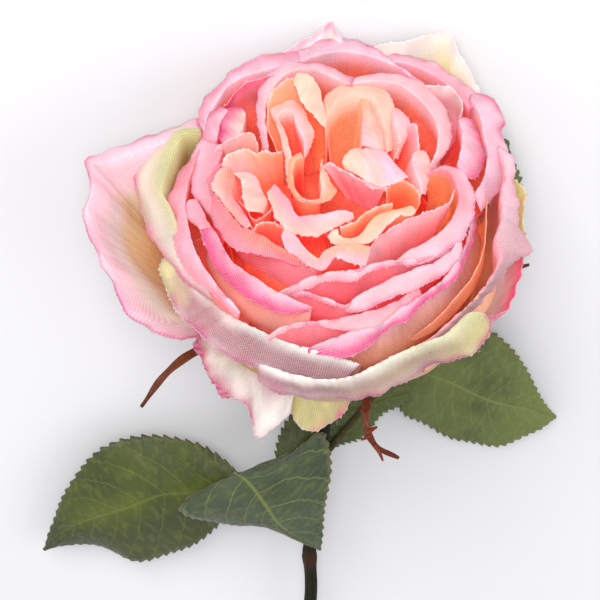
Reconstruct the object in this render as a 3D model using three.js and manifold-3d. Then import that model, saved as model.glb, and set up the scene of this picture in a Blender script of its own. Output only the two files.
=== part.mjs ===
// A single-bloom garden rose with woven-cloth petals on a leafy cut stem, lying down.
// Millimetres. X right, Y from the cut end to the bloom, Z up from the surface it lies on.
import * as THREE from "three";
import Module from "manifold-3d";
import { mergeVertices } from "three/addons/utils/BufferGeometryUtils.js";

// Driving dimensions
const NOD = THREE.MathUtils.degToRad(27); // the bloom's axis above the surface
const LOOK = THREE.MathUtils.degToRad(26); // the sight line off the vertical
const CALYX_HEIGHT = 36.2; // the calyx above the surface
const SIGHT_DISTANCE = 520; // from the eye to the sight plane
const SIGHT_PLANE = 35; // the sight plane before the calyx
const SIGHT_UNIT = 0.28; // one of 600 sight units across the view
const SIGHT_CENTRE = [-9, 3]; // the view's centre from the calyx
const PETAL_THICKNESS = 0.7;
const LEAF_THICKNESS = 0.7;
const CLEARANCE = 0.4; // between two solids
const STEM_RADIUS = 2.25;
const NECK_RADIUS = 1.75;

const wasm = await Module();
wasm.setup();
const V = (x, y, z) => new THREE.Vector3(x, y, z);
const SIN = Math.sin(NOD + LOOK);
const COS = Math.cos(NOD + LOOK);

// Sight lines
// The point at height h along the bloom's axis that is seen at a right, b down.
function seen(a, b, h) {
  const across = (a - 300) * SIGHT_UNIT;
  const up = (300 - b) * SIGHT_UNIT;
  const near = (up * (SIN * h - SIGHT_PLANE)) / SIGHT_DISTANCE;
  const front =
    (COS * h - SIGHT_CENTRE[1] - up + near) / (SIN - (up * COS) / SIGHT_DISTANCE);
  const depth = SIN * h + COS * front - SIGHT_PLANE;
  return V(SIGHT_CENTRE[0] + across * (1 - depth / SIGHT_DISTANCE), front, h);
}

// The point at height z above the surface that is seen at a right, b down.
function seenAt(a, b, z) {
  const across = (a - 300) * SIGHT_UNIT;
  const up = (300 - b) * SIGHT_UNIT;
  const s = Math.sin(LOOK);
  const c = Math.cos(LOOK);
  const rise = z - CALYX_HEIGHT;
  const y =
    (SIGHT_CENTRE[1] + up + s * rise - (up * (c * rise - SIGHT_PLANE)) / SIGHT_DISTANCE) /
    (c + (up * s) / SIGHT_DISTANCE);
  const depth = s * y + c * rise - SIGHT_PLANE;
  return V(SIGHT_CENTRE[0] + across * (1 - depth / SIGHT_DISTANCE), y, z);
}

// From the bloom's frame (right, front, along the axis) to the lying frame.
function laid(p) {
  return V(
    p.x,
    p.z * Math.cos(NOD) - p.y * Math.sin(NOD),
    p.y * Math.cos(NOD) + p.z * Math.sin(NOD) + CALYX_HEIGHT,
  );
}

// Curves
// A list of points out of a flat list of number triples.
function points(flat, place) {
  const out = [];
  for (let i = 0; i < flat.length; i += 3)
    out.push(place(flat[i], flat[i + 1], flat[i + 2]));
  return out;
}

// count + 1 points spaced evenly along a smooth curve through the given ones.
function along(list, count) {
  return new THREE.CatmullRomCurve3(list, false, "centripetal").getSpacedPoints(count);
}

// The same, with the nearest point moved onto each sharp corner of the list.
function traced(list, count) {
  const out = along(list, count);
  for (let i = 1; i < list.length - 1; i++) {
    const before = list[i].clone().sub(list[i - 1]);
    const after = list[i + 1].clone().sub(list[i]);
    if (before.angleTo(after) < 0.95) continue;
    let near = 1;
    for (let k = 2; k < count; k++)
      if (out[k].distanceTo(list[i]) < out[near].distanceTo(list[i])) near = k;
    out[near] = list[i].clone();
  }
  return out;
}

// A point at an angle in degrees, a distance and a height in the bloom's frame.
function polar(angle, radius, height) {
  const turn = THREE.MathUtils.degToRad(angle);
  return V(radius * Math.cos(turn), radius * Math.sin(turn), height);
}

// Solids
function solid(vertices, triangles, weld = 1e-3) {
  const g = new THREE.BufferGeometry();
  g.setAttribute("position", new THREE.Float32BufferAttribute(vertices, 3));
  g.setIndex(triangles);
  const merged = mergeVertices(g, weld);
  const mesh = new wasm.Mesh({
    numProp: 3,
    vertProperties: new Float32Array(merged.attributes.position.array),
    triVerts: new Uint32Array(merged.index.array),
  });
  const made = new wasm.Manifold(mesh);
  if (made.volume() >= 0) return made;
  const t = mesh.triVerts;
  for (let i = 0; i < t.length; i += 3) [t[i + 1], t[i + 2]] = [t[i + 2], t[i + 1]];
  return new wasm.Manifold(mesh);
}

// The same grid with its outermost points moved out by reach.
function widened(grid, reach) {
  const out = grid.map((row) => row.map((p) => p.clone()));
  const pull = (p, inner) => p.addScaledVector(p.clone().sub(inner).normalize(), reach);
  for (const row of out) {
    pull(row[0], row[1]);
    pull(row[row.length - 1], row[row.length - 2]);
  }
  out[0].forEach((p, j) => pull(p, out[1][j]));
  out[out.length - 1].forEach((p, j) => pull(p, out[out.length - 2][j]));
  return out;
}

// A closed sheet of even thickness round a grid of middle points, rows by columns.
function sheet(given, thickness, floor = false, reach = 0) {
  const grid = reach ? widened(given, reach) : given;
  const rows = grid.length;
  const cols = grid[0].length;
  const vertices = [];
  const normal = (i, j) => {
    const down = grid[Math.max(i - 1, 0)][j];
    const up = grid[Math.min(i + 1, rows - 1)][j];
    const left = grid[i][Math.max(j - 1, 0)];
    const right = grid[i][Math.min(j + 1, cols - 1)];
    return up.clone().sub(down).cross(right.clone().sub(left)).normalize();
  };
  for (const side of [1, -1])
    for (let i = 0; i < rows; i++)
      for (let j = 0; j < cols; j++) {
        const p = grid[i][j].clone().addScaledVector(normal(i, j), (side * thickness) / 2);
        vertices.push(p.x, p.y, p.z);
      }
  if (floor) {
    // Where the sheet would sink into the surface it is pressed flat on it.
    const half = (rows * cols * 3) | 0;
    for (let k = 2; k < half; k += 3) {
      const low = vertices[k] < vertices[k + half] ? k : k + half;
      const high = low === k ? k + half : k;
      if (vertices[low] < 0) vertices[low] = 0;
      if (vertices[high] < thickness * 0.9) vertices[high] = thickness * 0.9;
    }
  }
  const triangles = [];
  const at = (side, i, j) => side * rows * cols + i * cols + j;
  const quad = (a, b, c, d) => triangles.push(a, b, c, a, c, d);
  for (let i = 0; i < rows - 1; i++)
    for (let j = 0; j < cols - 1; j++) {
      quad(at(0, i, j), at(0, i, j + 1), at(0, i + 1, j + 1), at(0, i + 1, j));
      triangles.push(at(1, i, j), at(1, i + 1, j + 1), at(1, i, j + 1));
      triangles.push(at(1, i, j), at(1, i + 1, j), at(1, i + 1, j + 1));
    }
  for (let j = 0; j < cols - 1; j++) {
    quad(at(0, 0, j), at(1, 0, j), at(1, 0, j + 1), at(0, 0, j + 1));
    const r = rows - 1;
    quad(at(0, r, j), at(0, r, j + 1), at(1, r, j + 1), at(1, r, j));
  }
  for (let i = 0; i < rows - 1; i++) {
    quad(at(0, i, 0), at(0, i + 1, 0), at(1, i + 1, 0), at(1, i, 0));
    const c = cols - 1;
    quad(at(0, i, c), at(1, i, c), at(1, i + 1, c), at(0, i + 1, c));
  }
  return solid(vertices, triangles);
}

// A closed round rod along a path, with a radius at each of its points.
function rod(path, radii, sides) {
  const frames = [];
  let side = null;
  path.forEach((p, i) => {
    const ahead = path[Math.min(i + 1, path.length - 1)];
    const t = ahead.clone().sub(path[Math.max(i - 1, 0)]).normalize();
    if (!side) side = Math.abs(t.z) < 0.9 ? V(0, 0, 1) : V(1, 0, 0);
    side = side.clone().addScaledVector(t, -side.dot(t)).normalize();
    frames.push([side, t.clone().cross(side)]);
  });
  const vertices = [];
  path.forEach((p, i) => {
    for (let k = 0; k < sides; k++) {
      const a = (2 * Math.PI * k) / sides;
      const q = p
        .clone()
        .addScaledVector(frames[i][0], radii[i] * Math.cos(a))
        .addScaledVector(frames[i][1], radii[i] * Math.sin(a));
      vertices.push(q.x, q.y, q.z);
    }
  });
  const last = (path.length - 1) * sides;
  const triangles = [];
  for (let i = 0; i < path.length - 1; i++)
    for (let k = 0; k < sides; k++) {
      const a = i * sides + k;
      const b = i * sides + ((k + 1) % sides);
      triangles.push(a, b, b + sides, a, b + sides, a + sides);
    }
  for (let k = 1; k < sides - 1; k++)
    triangles.push(0, k + 1, k, last, last + k, last + k + 1);
  return solid(vertices, triangles);
}

// A turned solid about the bloom's axis, from radius and height pairs.
function turned(profile, sides) {
  const path = profile.map(([, h]) => laid(V(0, 0, h)));
  const radii = profile.map(([r]) => r);
  return rod(path, radii, sides);
}

function fused(list) {
  return wasm.Manifold.union(list);
}

// The largest body of a solid, without loose scraps and slivers.
function whole(body) {
  let kept = body;
  for (const tolerance of [0.1, 0.05]) {
    const made = kept.simplify(tolerance).getMesh();
    kept = solid(Array.from(made.vertProperties), Array.from(made.triVerts), 0.04)
      .decompose()
      .sort((a, b) => b.volume() - a.volume())
      .at(0);
  }
  return kept;
}

// Petals
// Each has a name and its rails: flat triples right, down, height, fold line first.
// low and belly are radius and height of the two rails that lead there from the base.
const GUARDS = [
  {
    name: "left_big",
    low: [26, 6],
    belly: [44, 13],
    rails: [
      [199, 334, 14, 176, 335, 16, 134, 315, 21, 109, 269, 27, 90, 231, 33, 88, 207, 36,
        94, 185, 38.5, 91, 166, 41, 104, 163, 43.5, 147, 148, 46.5, 178, 137, 47.5,
        200, 130, 46],
      [199, 337, 13, 176, 338, 15, 132, 317, 20, 107, 270, 26, 88, 231, 32, 86, 207, 35,
        92, 185, 37.5, 88, 162, 39.5, 104, 154, 41, 147, 139, 43.5, 177, 128, 44.5,
        200, 120, 43],
    ],
  },
  {
    name: "left_rolled",
    low: [24, 7],
    belly: [42, 22],
    rails: [
      [202, 133, 47, 184, 134, 48.5, 172, 158, 48, 165, 177, 47, 162, 193, 46.5,
        170, 208, 46, 183, 240, 44.5, 200, 272, 43.5, 228, 302, 42.5, 240, 320, 42],
      [201, 127, 45, 177, 127, 44.5, 154, 143, 42.5, 142, 158, 41, 137, 177, 39.5,
        142, 200, 38.5, 151, 231, 38, 166, 254, 38, 191, 282, 38.5, 212, 299, 39.5,
        239, 323, 41],
    ],
  },
  {
    name: "front_left_folded",
    low: [26, 8],
    belly: [45, 24],
    rails: [
      [167, 256, 36, 166, 268, 35, 174, 290, 35, 186, 313, 37, 202, 320, 40,
        225, 317, 42, 243, 324, 43, 266, 334, 43, 290, 344, 42.5, 319, 351, 42,
        344, 359, 40, 359, 365, 38],
      [165, 257, 34, 163, 269, 33, 171, 292, 33, 183, 315, 34, 198, 328, 36.5,
        204, 334, 36, 214, 344, 35, 233, 356, 34.5, 258, 365, 34, 281, 372, 33.5,
        302, 378, 33, 319, 381, 33, 342, 379, 34, 359, 369, 36],
    ],
  },
  {
    name: "front_rolled",
    low: [28, 7],
    belly: [47, 20],
    rails: [
      [258, 364, 35, 290, 374, 36.5, 319, 380, 37, 351, 377, 38, 387, 360, 39,
        414, 347, 40, 448, 334, 41, 471, 313, 41, 486, 313, 40],
      [259, 376, 31, 273, 387, 29, 288, 392, 28, 310, 395, 27.5, 334, 393, 27,
        353, 397, 27, 376, 392, 28, 395, 382, 29, 414, 372, 30, 433, 361, 31,
        450, 358, 32, 465, 353, 33, 479, 343, 34, 487, 330, 35.5, 489, 317, 38],
    ],
  },
  {
    name: "right_tipped",
    low: [28, 8],
    belly: [47, 24],
    rails: [
      [497, 148, 46, 505, 165, 46.5, 503, 190, 46.5, 502, 220, 46, 497, 240, 45.5,
        500, 257, 44, 490, 280, 42.5, 472, 302, 41, 450, 322, 40, 420, 348, 38.5],
      [499, 146, 44, 511, 163, 44, 512, 183, 43.5, 514, 205, 43, 518, 230, 42.5,
        528, 251, 41.5, 512, 261, 40.5, 498, 277, 39.5, 477, 303, 38.5, 457, 323, 38,
        430, 352, 36],
    ],
  },
  {
    name: "right_low_pink",
    low: [26, 4],
    belly: [44, 12],
    rails: [
      [526, 232, 34, 523, 248, 32.5, 521, 262, 31, 521, 275, 29.5, 515, 293, 27.5,
        509, 309, 26, 498, 314, 26, 484, 314, 26.5, 466, 318, 27, 440, 340, 26],
    ],
  },
  {
    name: "right_back_green",
    low: [26, 5],
    belly: [46, 14],
    rails: [
      [492, 122, 38, 505, 140, 37, 514, 176, 35.5, 521, 184, 35, 525, 196, 34.5,
        524, 212, 34, 523, 226, 33, 526, 238, 31],
    ],
  },
  {
    name: "top_pointed",
    low: [26, 5],
    belly: [49, 18],
    rails: [
      [236, 84, 42, 256, 68, 47, 279, 55, 50, 300, 42, 53, 319, 32, 54, 332, 23, 55,
        338, 33, 54, 345, 44, 52, 368, 62, 47],
    ],
  },
  {
    name: "top_right_cream",
    low: [26, 5],
    belly: [48, 20],
    rails: [
      [352, 66, 46, 374, 47, 50, 404, 42, 52, 433, 34, 53, 449, 32, 54, 455, 44, 53,
        458, 54, 52, 466, 64, 50, 473, 77, 49, 480, 95, 46, 488, 116, 42],
    ],
  },
  {
    name: "front_hanging_white",
    low: [20, 9],
    belly: [36, 17],
    rails: [
      [200, 330, 24, 197, 343, 22, 202, 359, 20, 210, 378, 17, 218, 387, 15,
        231, 397, 13, 246, 405, 11, 252, 420, 8, 259, 437, 4, 265, 436, 4,
        271, 430, 5, 281, 421, 7, 290, 406, 11, 294, 396, 13],
    ],
  },
  {
    name: "front_hanging_green",
    low: [20, 9],
    belly: [36, 16],
    rails: [
      [290, 398, 12, 292, 413, 8, 296, 421, 7, 304, 429, 5.5, 315, 431, 5,
        323, 427, 5.5, 331, 422, 6, 342, 415, 8, 347, 408, 10, 352, 397, 13],
    ],
  },
];

// Guards on the side away from the eye, by angle, radius and height along their rims.
const BACK_GUARDS = [
  { name: "back_left", low: [24, 4], belly: [50, 17],
    rim: [[-158, 50, 30], [-146, 54, 35], [-132, 55, 38], [-116, 54, 38], [-104, 52, 33]] },
  { name: "back_middle", low: [24, 3], belly: [47, 14],
    rim: [[-114, 50, 28], [-102, 55, 34], [-88, 56, 36], [-74, 55, 34], [-62, 50, 28]] },
  { name: "back_right", low: [24, 4], belly: [50, 17],
    rim: [[-70, 51, 30], [-58, 55, 35], [-46, 56, 37], [-32, 54, 36], [-20, 50, 30]] },
];

const PINKS = [
  { name: "top_left_outer", rails: [
    [204, 132, 47, 208, 115, 48, 216, 102, 49, 228, 86, 50, 240, 78, 51, 258, 72, 52,
      280, 66, 52.5, 300, 62, 52],
    [200, 128, 45, 202, 108, 46, 212, 95, 47, 222, 86, 48, 233, 73, 49, 256, 60, 50.5,
      279, 56, 51, 300, 54, 51]] },
  { name: "top_outer", rails: [
    [256, 69, 48, 282, 63, 50, 299, 62, 51.5, 314, 56, 52.5, 334, 52, 52.5,
      347, 51.5, 52.5, 362, 54, 52.5, 385, 61, 52.5, 404, 71, 52, 424, 88, 50],
    [255, 66, 47, 280, 56, 49.5, 301, 53, 50.5, 318, 44, 51, 341, 40, 51, 357, 43, 51,
      372, 49, 51, 382, 57, 51, 403, 69, 51, 424, 85, 49]] },
  { name: "top_right_outer", rails: [
    [384, 64, 49.5, 395, 62, 50, 408, 64, 50, 425, 70, 50.5, 444, 82, 50, 458, 94, 49,
      470, 110, 47.5],
    [384, 60, 48, 395, 56.5, 48.5, 405, 56.5, 48.5, 418, 60, 48.5, 433, 65.5, 48.5,
      448, 75, 48.5, 461, 84, 48, 471, 94, 46.5, 478, 106, 45]] },
  { name: "right_outer", rails: [
    [470, 98, 48, 478, 109, 48.5, 482, 122, 48.5, 484, 134, 48.5, 488, 150, 48,
      487, 166, 47.5, 482, 182, 47, 474, 196, 46],
    [468, 93, 46.5, 487, 99, 45.5, 498, 111, 44.5, 503, 125, 43.5, 499, 132, 43.5,
      502, 142, 42.5, 505, 158, 42.5, 504, 176, 42.5, 500, 188, 42, 487, 201, 42.5,
      478, 211, 43]] },
  { name: "top_left_hot", rails: [
    [220, 112, 46, 229, 97, 48, 236, 88, 49, 247, 80, 50, 257, 75, 51, 268, 73, 51.5,
      284, 72, 51]] },
  { name: "left_lobe", rails: [
    [224, 147, 48, 236, 140, 49, 243, 125, 50.5, 245, 112, 50],
    [223, 145, 46.5, 220, 131, 47, 222, 119, 47.5, 233, 110, 48, 243, 109, 48.5]] },
  { name: "left_upper", rails: [
    [212, 160, 47, 216, 140, 48, 220, 122, 48.5, 228, 110, 48.5],
    [201, 150, 45.5, 203, 131, 46, 208, 118, 46.5, 222, 108, 47.5]] },
  { name: "ring_band", rails: [
    [269, 152, 48, 266, 133, 49, 265, 117, 50, 266, 103, 51, 269, 94, 52, 276, 83, 53,
      284, 75, 53.5, 294, 70, 54, 315, 70, 54, 335, 78, 53.5, 352, 85, 53],
    [264, 151, 47, 260, 127, 48, 257.5, 112, 48.5, 259, 98, 49, 264, 84, 50,
      272, 73, 51, 288, 62, 52, 296, 65, 52.5, 310, 64.5, 52.5, 322, 66, 52.5,
      335, 73, 52, 354, 80, 52]] },
  { name: "right_lobed", rails: [
    [418, 92, 50, 424, 87, 51, 434, 86, 51, 452, 89, 50, 462, 100, 49, 463, 108, 48,
      459, 118, 47]] },
  { name: "right_cupped", rails: [
    [352, 84, 53, 362, 82, 53.5, 376, 81, 53.5, 398, 84, 53.5, 414, 94, 53,
      426, 106, 52.5, 434, 118, 52, 439, 134, 51, 437, 150, 50, 428, 171, 49],
    [354, 80, 52, 362, 77.5, 52.5, 377, 75.5, 52, 399, 77, 51.5, 421, 85, 51,
      431, 97, 50.5, 441, 106, 49.5, 448, 121, 49, 449, 133, 48.5, 446, 148, 48,
      438, 161, 47.5, 432, 172, 47.5]] },
  { name: "right_hot_flap", rails: [
    [459, 119, 49.5, 462, 130, 50, 463, 141, 50, 460, 155, 49.5, 457, 167, 48.5],
    [462, 118, 48, 470, 122, 47.5, 477, 134, 46.5, 481, 151, 45.5, 479, 169, 45,
      470, 179, 45.5, 460, 175, 47]] },
  { name: "left_outer", rails: [
    [200, 150, 47, 194, 165, 47.5, 188, 182, 47.5, 185, 200, 47, 187, 222, 46.5,
      193, 245, 46, 204, 268, 45, 222, 292, 44, 240, 312, 43],
    [196, 153, 45.5, 183, 172, 45, 174, 193, 44, 170, 207, 43.5, 175, 220, 43,
      177, 238, 42.5, 183, 259, 42, 194, 276, 41.5, 212, 291, 41.5, 238, 316, 41.5]] },
  { name: "left_column", rails: [
    [224, 147, 49, 219, 160, 49.5, 215, 178, 49.5, 212, 195, 49, 217, 215, 48,
      225, 232, 47],
    [205, 140, 46.5, 197, 152, 46, 194, 165, 46, 194, 182, 45.5, 196, 195, 45.5,
      203, 204, 45.5, 211, 213, 45.5, 219, 229, 45.5]] },
  { name: "left_round_flap", rails: [
    [196, 199, 47.5, 200, 206, 47.5, 208, 222, 47, 218, 240, 46.5, 230, 262, 46],
    [190, 200, 46.5, 187, 210, 45.5, 191, 219, 45, 202, 228, 45, 207, 241, 44.5,
      222, 263, 44]] },
  { name: "left_hot_flap", rails: [
    [212, 228, 47.5, 219, 240, 48, 226, 252, 48, 234, 264, 48, 246, 272, 48,
      261, 282, 47.5, 279, 293, 47, 296, 301, 46.5, 312, 307, 46],
    [203, 229, 46, 208, 241, 45.5, 214, 259, 44.5, 225, 275, 44, 241, 290, 43.5,
      260, 302, 43.5, 275, 309, 43.5, 292, 311, 44, 313, 310, 44.5]] },
  { name: "inner_left", rails: [
    [222, 163, 50, 213, 176, 50.5, 212, 190, 50.5, 218, 200, 50.5, 231, 215, 50.5,
      240, 226, 50.5, 253, 231, 50.5, 273, 243, 50, 292, 255, 49.5, 318, 268, 48.5],
    [214, 167, 49, 209, 180, 48.5, 210, 194, 48, 214, 206, 47.5, 219, 224, 47,
      229, 240, 47, 240, 249, 47, 258, 252, 47, 284, 259, 47, 316, 272, 47]] },
  { name: "front_upper", rails: [
    [278, 293, 47, 303, 281, 48, 328, 273, 48.5, 352, 270, 48.5, 376, 264, 48.5,
      392, 261, 48.5, 408, 260, 48.5, 424, 258, 48, 440, 251, 47.5, 453, 240, 47],
    [278, 295, 46, 304, 288, 46.5, 328, 280, 46.5, 357, 279, 46.5, 366, 272, 47.3,
      392, 265, 47.3, 408, 264, 47.2, 424, 262, 47, 441, 256, 46.5, 456, 244, 46]] },
  { name: "front_second", rails: [
    [284, 293, 45.5, 303, 292, 46, 318, 296, 46, 332, 301, 46, 345, 306, 46,
      357, 297, 46.8, 376, 287, 47, 395, 277, 47, 414, 270, 47, 433, 263, 46.5,
      450, 252, 46, 461, 236, 45.5],
    [284, 296, 44.7, 303, 295, 45, 318, 299, 45, 332, 304, 44.8, 346, 310, 44.6,
      362, 308.5, 44.8, 376, 302, 45, 395, 293, 45, 412, 289, 44.8, 422, 283, 44.8,
      448, 271.5, 44.5, 460, 258, 44.3]] },
  { name: "front_third", rails: [
    [268, 336, 44, 282, 328, 44.7, 299, 323, 45, 314, 322, 45.5, 343, 318, 45.5,
      372, 311, 45.5, 388, 305, 45.5, 404, 298, 45.5, 420, 289, 45],
    [268, 339, 43.3, 282, 331, 43.8, 299, 326, 44, 318, 325, 44, 339, 328, 43.3,
      366, 330, 43, 377, 327, 43.2, 387, 321, 43.5, 402, 307, 44, 421, 294, 44]] },
  { name: "front_lowest", rails: [
    [308, 349, 42.5, 328, 341, 43.3, 347, 333, 44, 376, 327, 44.3, 388, 320, 44.5,
      402, 308, 44.8, 414, 300, 45, 433, 288, 45, 448, 275, 45, 460, 257, 44.5,
      466, 240, 44],
    [308, 352, 41.5, 331, 354, 41.3, 340, 355, 41.2, 355, 351, 41.5, 365, 346, 41.7,
      380, 334, 42.5, 391, 324, 43, 404, 320, 43, 418, 306, 43.5, 431, 295.5, 43.5,
      445, 286, 43.5, 454, 277, 43.3, 463, 262, 43, 470, 244, 42.8]] },
  { name: "right_orange_cup", rails: [
    [426, 175, 50, 436, 170, 50.5, 448, 170, 50.5, 455, 180, 50, 459, 192, 49.5,
      459, 205, 49, 454, 216, 48.5, 445, 228, 48, 430, 240, 48, 412, 250, 48,
      396, 261, 48],
    [438, 167, 49.5, 450, 168.5, 49, 460, 172, 48.5, 468, 186, 47.5, 472, 198, 47,
      471, 211, 46.5, 465, 226, 46, 460, 239, 45.8, 452, 243, 46, 440, 251, 46.3,
      424, 260, 46.3, 404, 266, 46.8]] },
  { name: "right_inner", rails: [
    [455, 190, 49.5, 449, 201, 50, 441, 208, 50, 423, 214, 50.5, 404, 222, 50.5,
      385, 232, 50.5, 374, 243, 50.5, 367, 256, 50, 360, 268, 49]] },
];

// Heart petals stand on the core. drop is how far their foot lies below the fold.
const HEARTS = [
  { name: "left_ribbon", rails: [
    [270, 190, 55, 274, 185, 55.5, 280, 190, 55.5, 288, 200, 55, 293, 210, 55,
      299, 217, 54.5, 311, 215, 54.5, 326, 214, 54.5, 340, 211, 54.5, 353, 213, 54],
    [268, 193, 54, 273, 200, 53.5, 276, 208, 53, 277, 215, 52.5, 284, 222, 52.5,
      289, 230, 52, 300, 232, 52, 319, 233, 52, 331, 227, 52, 343, 221, 52.5,
      353, 217, 53]] },
  { name: "front_ribbon", rails: [
    [284, 230, 52, 293, 235, 52.5, 300, 242, 52.5, 306, 249, 52.5, 313, 256, 52,
      319, 259, 51.5, 324, 251, 52.5, 331, 245, 53, 343, 243, 53, 357, 245, 52.5,
      371, 247, 51.5],
    [282, 235, 51, 286, 243, 50, 291, 251, 49.5, 300, 258, 49.2, 312, 265, 49,
      322, 268, 48.5, 329, 263, 49, 334, 255, 50, 343, 257, 50, 352, 261, 49.5,
      365, 263, 49]] },
  { name: "right_loop_front", rails: [
    [338, 229, 52.5, 338, 235, 52.5, 345, 238, 52.5, 358, 237, 52.5, 365, 229, 53,
      373, 220, 53, 382, 213, 53, 394, 210, 53, 412, 206, 52.5],
    [333, 228, 51.5, 329, 235, 51, 334, 241, 51, 347, 243.5, 51, 362, 242, 51,
      370, 239, 51, 378, 232, 51.3, 383, 226, 51.6, 392, 219, 51.8, 400, 214, 52,
      409, 215, 51.3, 415, 210, 51.5]] },
  { name: "right_loop_back", rails: [
    [340, 228, 53, 349, 224.5, 53.5, 361, 217, 53.5, 373, 210, 53.5, 382, 206, 53.5,
      393, 204, 53.5]] },
  { name: "pink_triangle", drop: 13, pinch: 0.3, rails: [
    [323, 166, 53.5, 329, 163, 54, 340, 169, 54, 349, 173, 54.3, 357, 178, 54.5,
      372, 183, 54, 387, 186, 53.5],
    [324, 170, 53, 329, 167, 53, 340, 173, 53, 349, 177, 53.3, 357, 182, 53.3,
      372, 188, 52.8, 386, 191, 52.3]] },
  { name: "cream_tongue", drop: 12, rails: [
    [344, 157, 53.5, 351, 150, 54, 362, 149, 54, 376, 149, 54, 385, 152, 53.5],
    [342, 163, 55.5, 352, 161, 56.2, 368, 161, 56.5, 384, 163, 56, 397, 166, 54.5],
    [344, 171, 54, 353, 175, 54.5, 364, 181, 54.5, 377, 186.5, 54, 390, 184, 53.5,
      405, 177, 53.5]] },
  { name: "top_arch", rails: [
    [326, 120, 51, 330, 110, 52, 336, 102, 53, 345, 96, 53.5, 356, 94, 53.5,
      366, 95, 53.5, 375, 99, 53.5, 379, 110, 52.5, 384, 124, 51.5, 387, 140, 50,
      388, 152, 49],
    [323, 106, 50, 327, 97, 50.5, 334, 91, 51, 342, 87, 51.5, 351, 85, 51.5,
      367, 84.5, 51.5, 377, 87, 51.5, 384, 93, 51, 390, 101, 50.5, 392.5, 110, 50,
      393, 126, 49, 392, 140, 48, 391, 152, 47.5]] },
  { name: "arch_tongue", drop: 11, rails: [
    [360, 98, 52.5, 363, 112, 52.5, 363, 128, 51.5, 362, 146, 49.5],
    [368, 100, 53, 369, 114, 53, 372, 130, 52, 378, 150, 50],
    [372, 101, 51, 374, 117, 51, 379, 130, 50, 385, 152, 48]] },
  { name: "centre_cup", rails: [
    [303, 157, 54, 296, 160, 54.5, 292, 170, 54.5, 293, 182, 54.5, 297, 193, 54,
      304, 199, 54, 313, 201, 54, 320, 198, 54, 322, 190, 54, 321, 178, 54,
      321, 163, 54],
    [302, 154, 53, 293, 158, 53, 289, 168, 53, 289, 181, 53, 292, 191, 53,
      300, 200.5, 53, 312, 203.5, 53, 326, 201, 53, 334, 194, 53, 331, 186, 53,
      328, 178, 53.3, 324, 169, 53.5, 322, 160, 53.5]] },
  { name: "left_saddle", drop: 13, rails: [
    [222, 166, 50, 225, 158, 51, 232, 153, 51.5, 240, 150.5, 52, 248, 151, 52,
      256, 154, 52, 266, 151.5, 52, 274, 153, 51.5, 283, 151, 51]] },
  { name: "left_tongue", drop: 10, rails: [
    [248, 172, 50.5, 256, 178, 50.5, 261, 189, 50.5, 266, 201, 50, 263, 213, 49.5],
    [235, 173, 51.5, 243, 179, 52, 246, 188, 52, 246, 199, 51.5, 251, 211, 50.5]] },
  { name: "left_flap", drop: 11, rails: [
    [231, 169, 51.5, 234, 180, 52, 231, 191, 52, 233, 200, 51.5, 240, 207, 51,
      246, 217, 50.5, 250, 226, 50],
    [224, 168, 50.5, 217, 178, 50.5, 215.5, 187, 50.5, 223, 199, 50, 231, 210, 49.5,
      239, 220, 49, 248, 229, 49]] },
  { name: "left_ridge", drop: 9, rails: [
    [239, 202, 49, 248, 211, 48.5, 252, 218, 48, 257, 220, 48, 264, 217, 48,
      269, 211, 48.5, 275, 200, 49.5]] },
  { name: "small_arch", drop: 9, rails: [
    [253, 232, 49, 258, 225, 49.5, 265, 222.5, 50, 275, 223.5, 50, 284, 228, 50]] },
  { name: "upper_loop", rails: [
    [286, 176, 51, 287, 160, 52, 284, 146, 52.5, 281, 132, 53, 276, 120, 53.5,
      279, 113, 54, 290, 110, 54, 294, 114, 54, 296, 124, 54, 302, 134, 54,
      305, 145, 53.5, 304, 158, 53],
    [283, 176, 50, 283, 160, 51, 280, 146, 51.5, 277, 132, 52, 272, 118, 52.5,
      273, 111, 52.5, 284, 106, 52.5, 295, 104, 52.5, 304, 111, 52, 309, 122, 52,
      314, 136, 51.5, 310, 150, 51.5, 306, 159, 52]] },
  { name: "top_flap", drop: 12, rails: [
    [294, 78, 53, 297, 74, 54, 306, 74, 54.5, 314, 79, 54.5, 319, 88, 54, 322, 104, 53,
      326, 119, 52, 325, 128, 51],
    [294, 83, 55, 299, 93, 55.5, 304, 105, 55, 309, 113, 54.5, 316, 119, 53.5,
      322, 126, 52]] },
  { name: "apricot_cup", drop: 13, rails: [
    [277, 152, 48, 273, 140, 49, 268.5, 128, 50, 267, 117, 51, 268, 103, 52,
      271, 94, 52.5, 277, 87, 53, 284, 81, 53.5, 292, 79, 53.5, 300, 80, 53]] },
  { name: "right_facet", rails: [
    [393, 112, 51, 396, 126, 50.5, 399, 138, 50, 399, 148, 49, 394, 158, 48],
    [395, 109, 50, 402, 115, 49.5, 407.5, 124, 49, 407, 134, 48.5, 404, 143, 48,
      400, 152, 47.5, 397, 160, 47]] },
  { name: "right_strip", drop: 12, rails: [
    [409, 126, 50, 413, 124, 50.5, 417, 126, 50.5, 418, 137, 50, 419, 152, 49,
      416, 165, 48]] },
  { name: "right_pale_flap", rails: [
    [413, 154, 51, 413, 164, 51.5, 416, 174, 51.5, 420, 184, 51, 422, 194, 50],
    [416, 151, 50, 421, 152, 49.5, 427, 160, 49, 427, 172, 48.5, 425, 184, 48.5,
      424, 195, 48.5]] },
  { name: "right_hollow", drop: 11, rails: [
    [386, 190, 50, 394, 182, 51, 406, 182, 51, 414, 187, 50.5, 419, 194, 50,
      420, 204, 49]] },
];

const BOWL = [[11, 4], [24, 8], [31, 15], [33, 26], [33, 31]]; // round the pink petals' feet
const CORE_TOP = 41;

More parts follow.
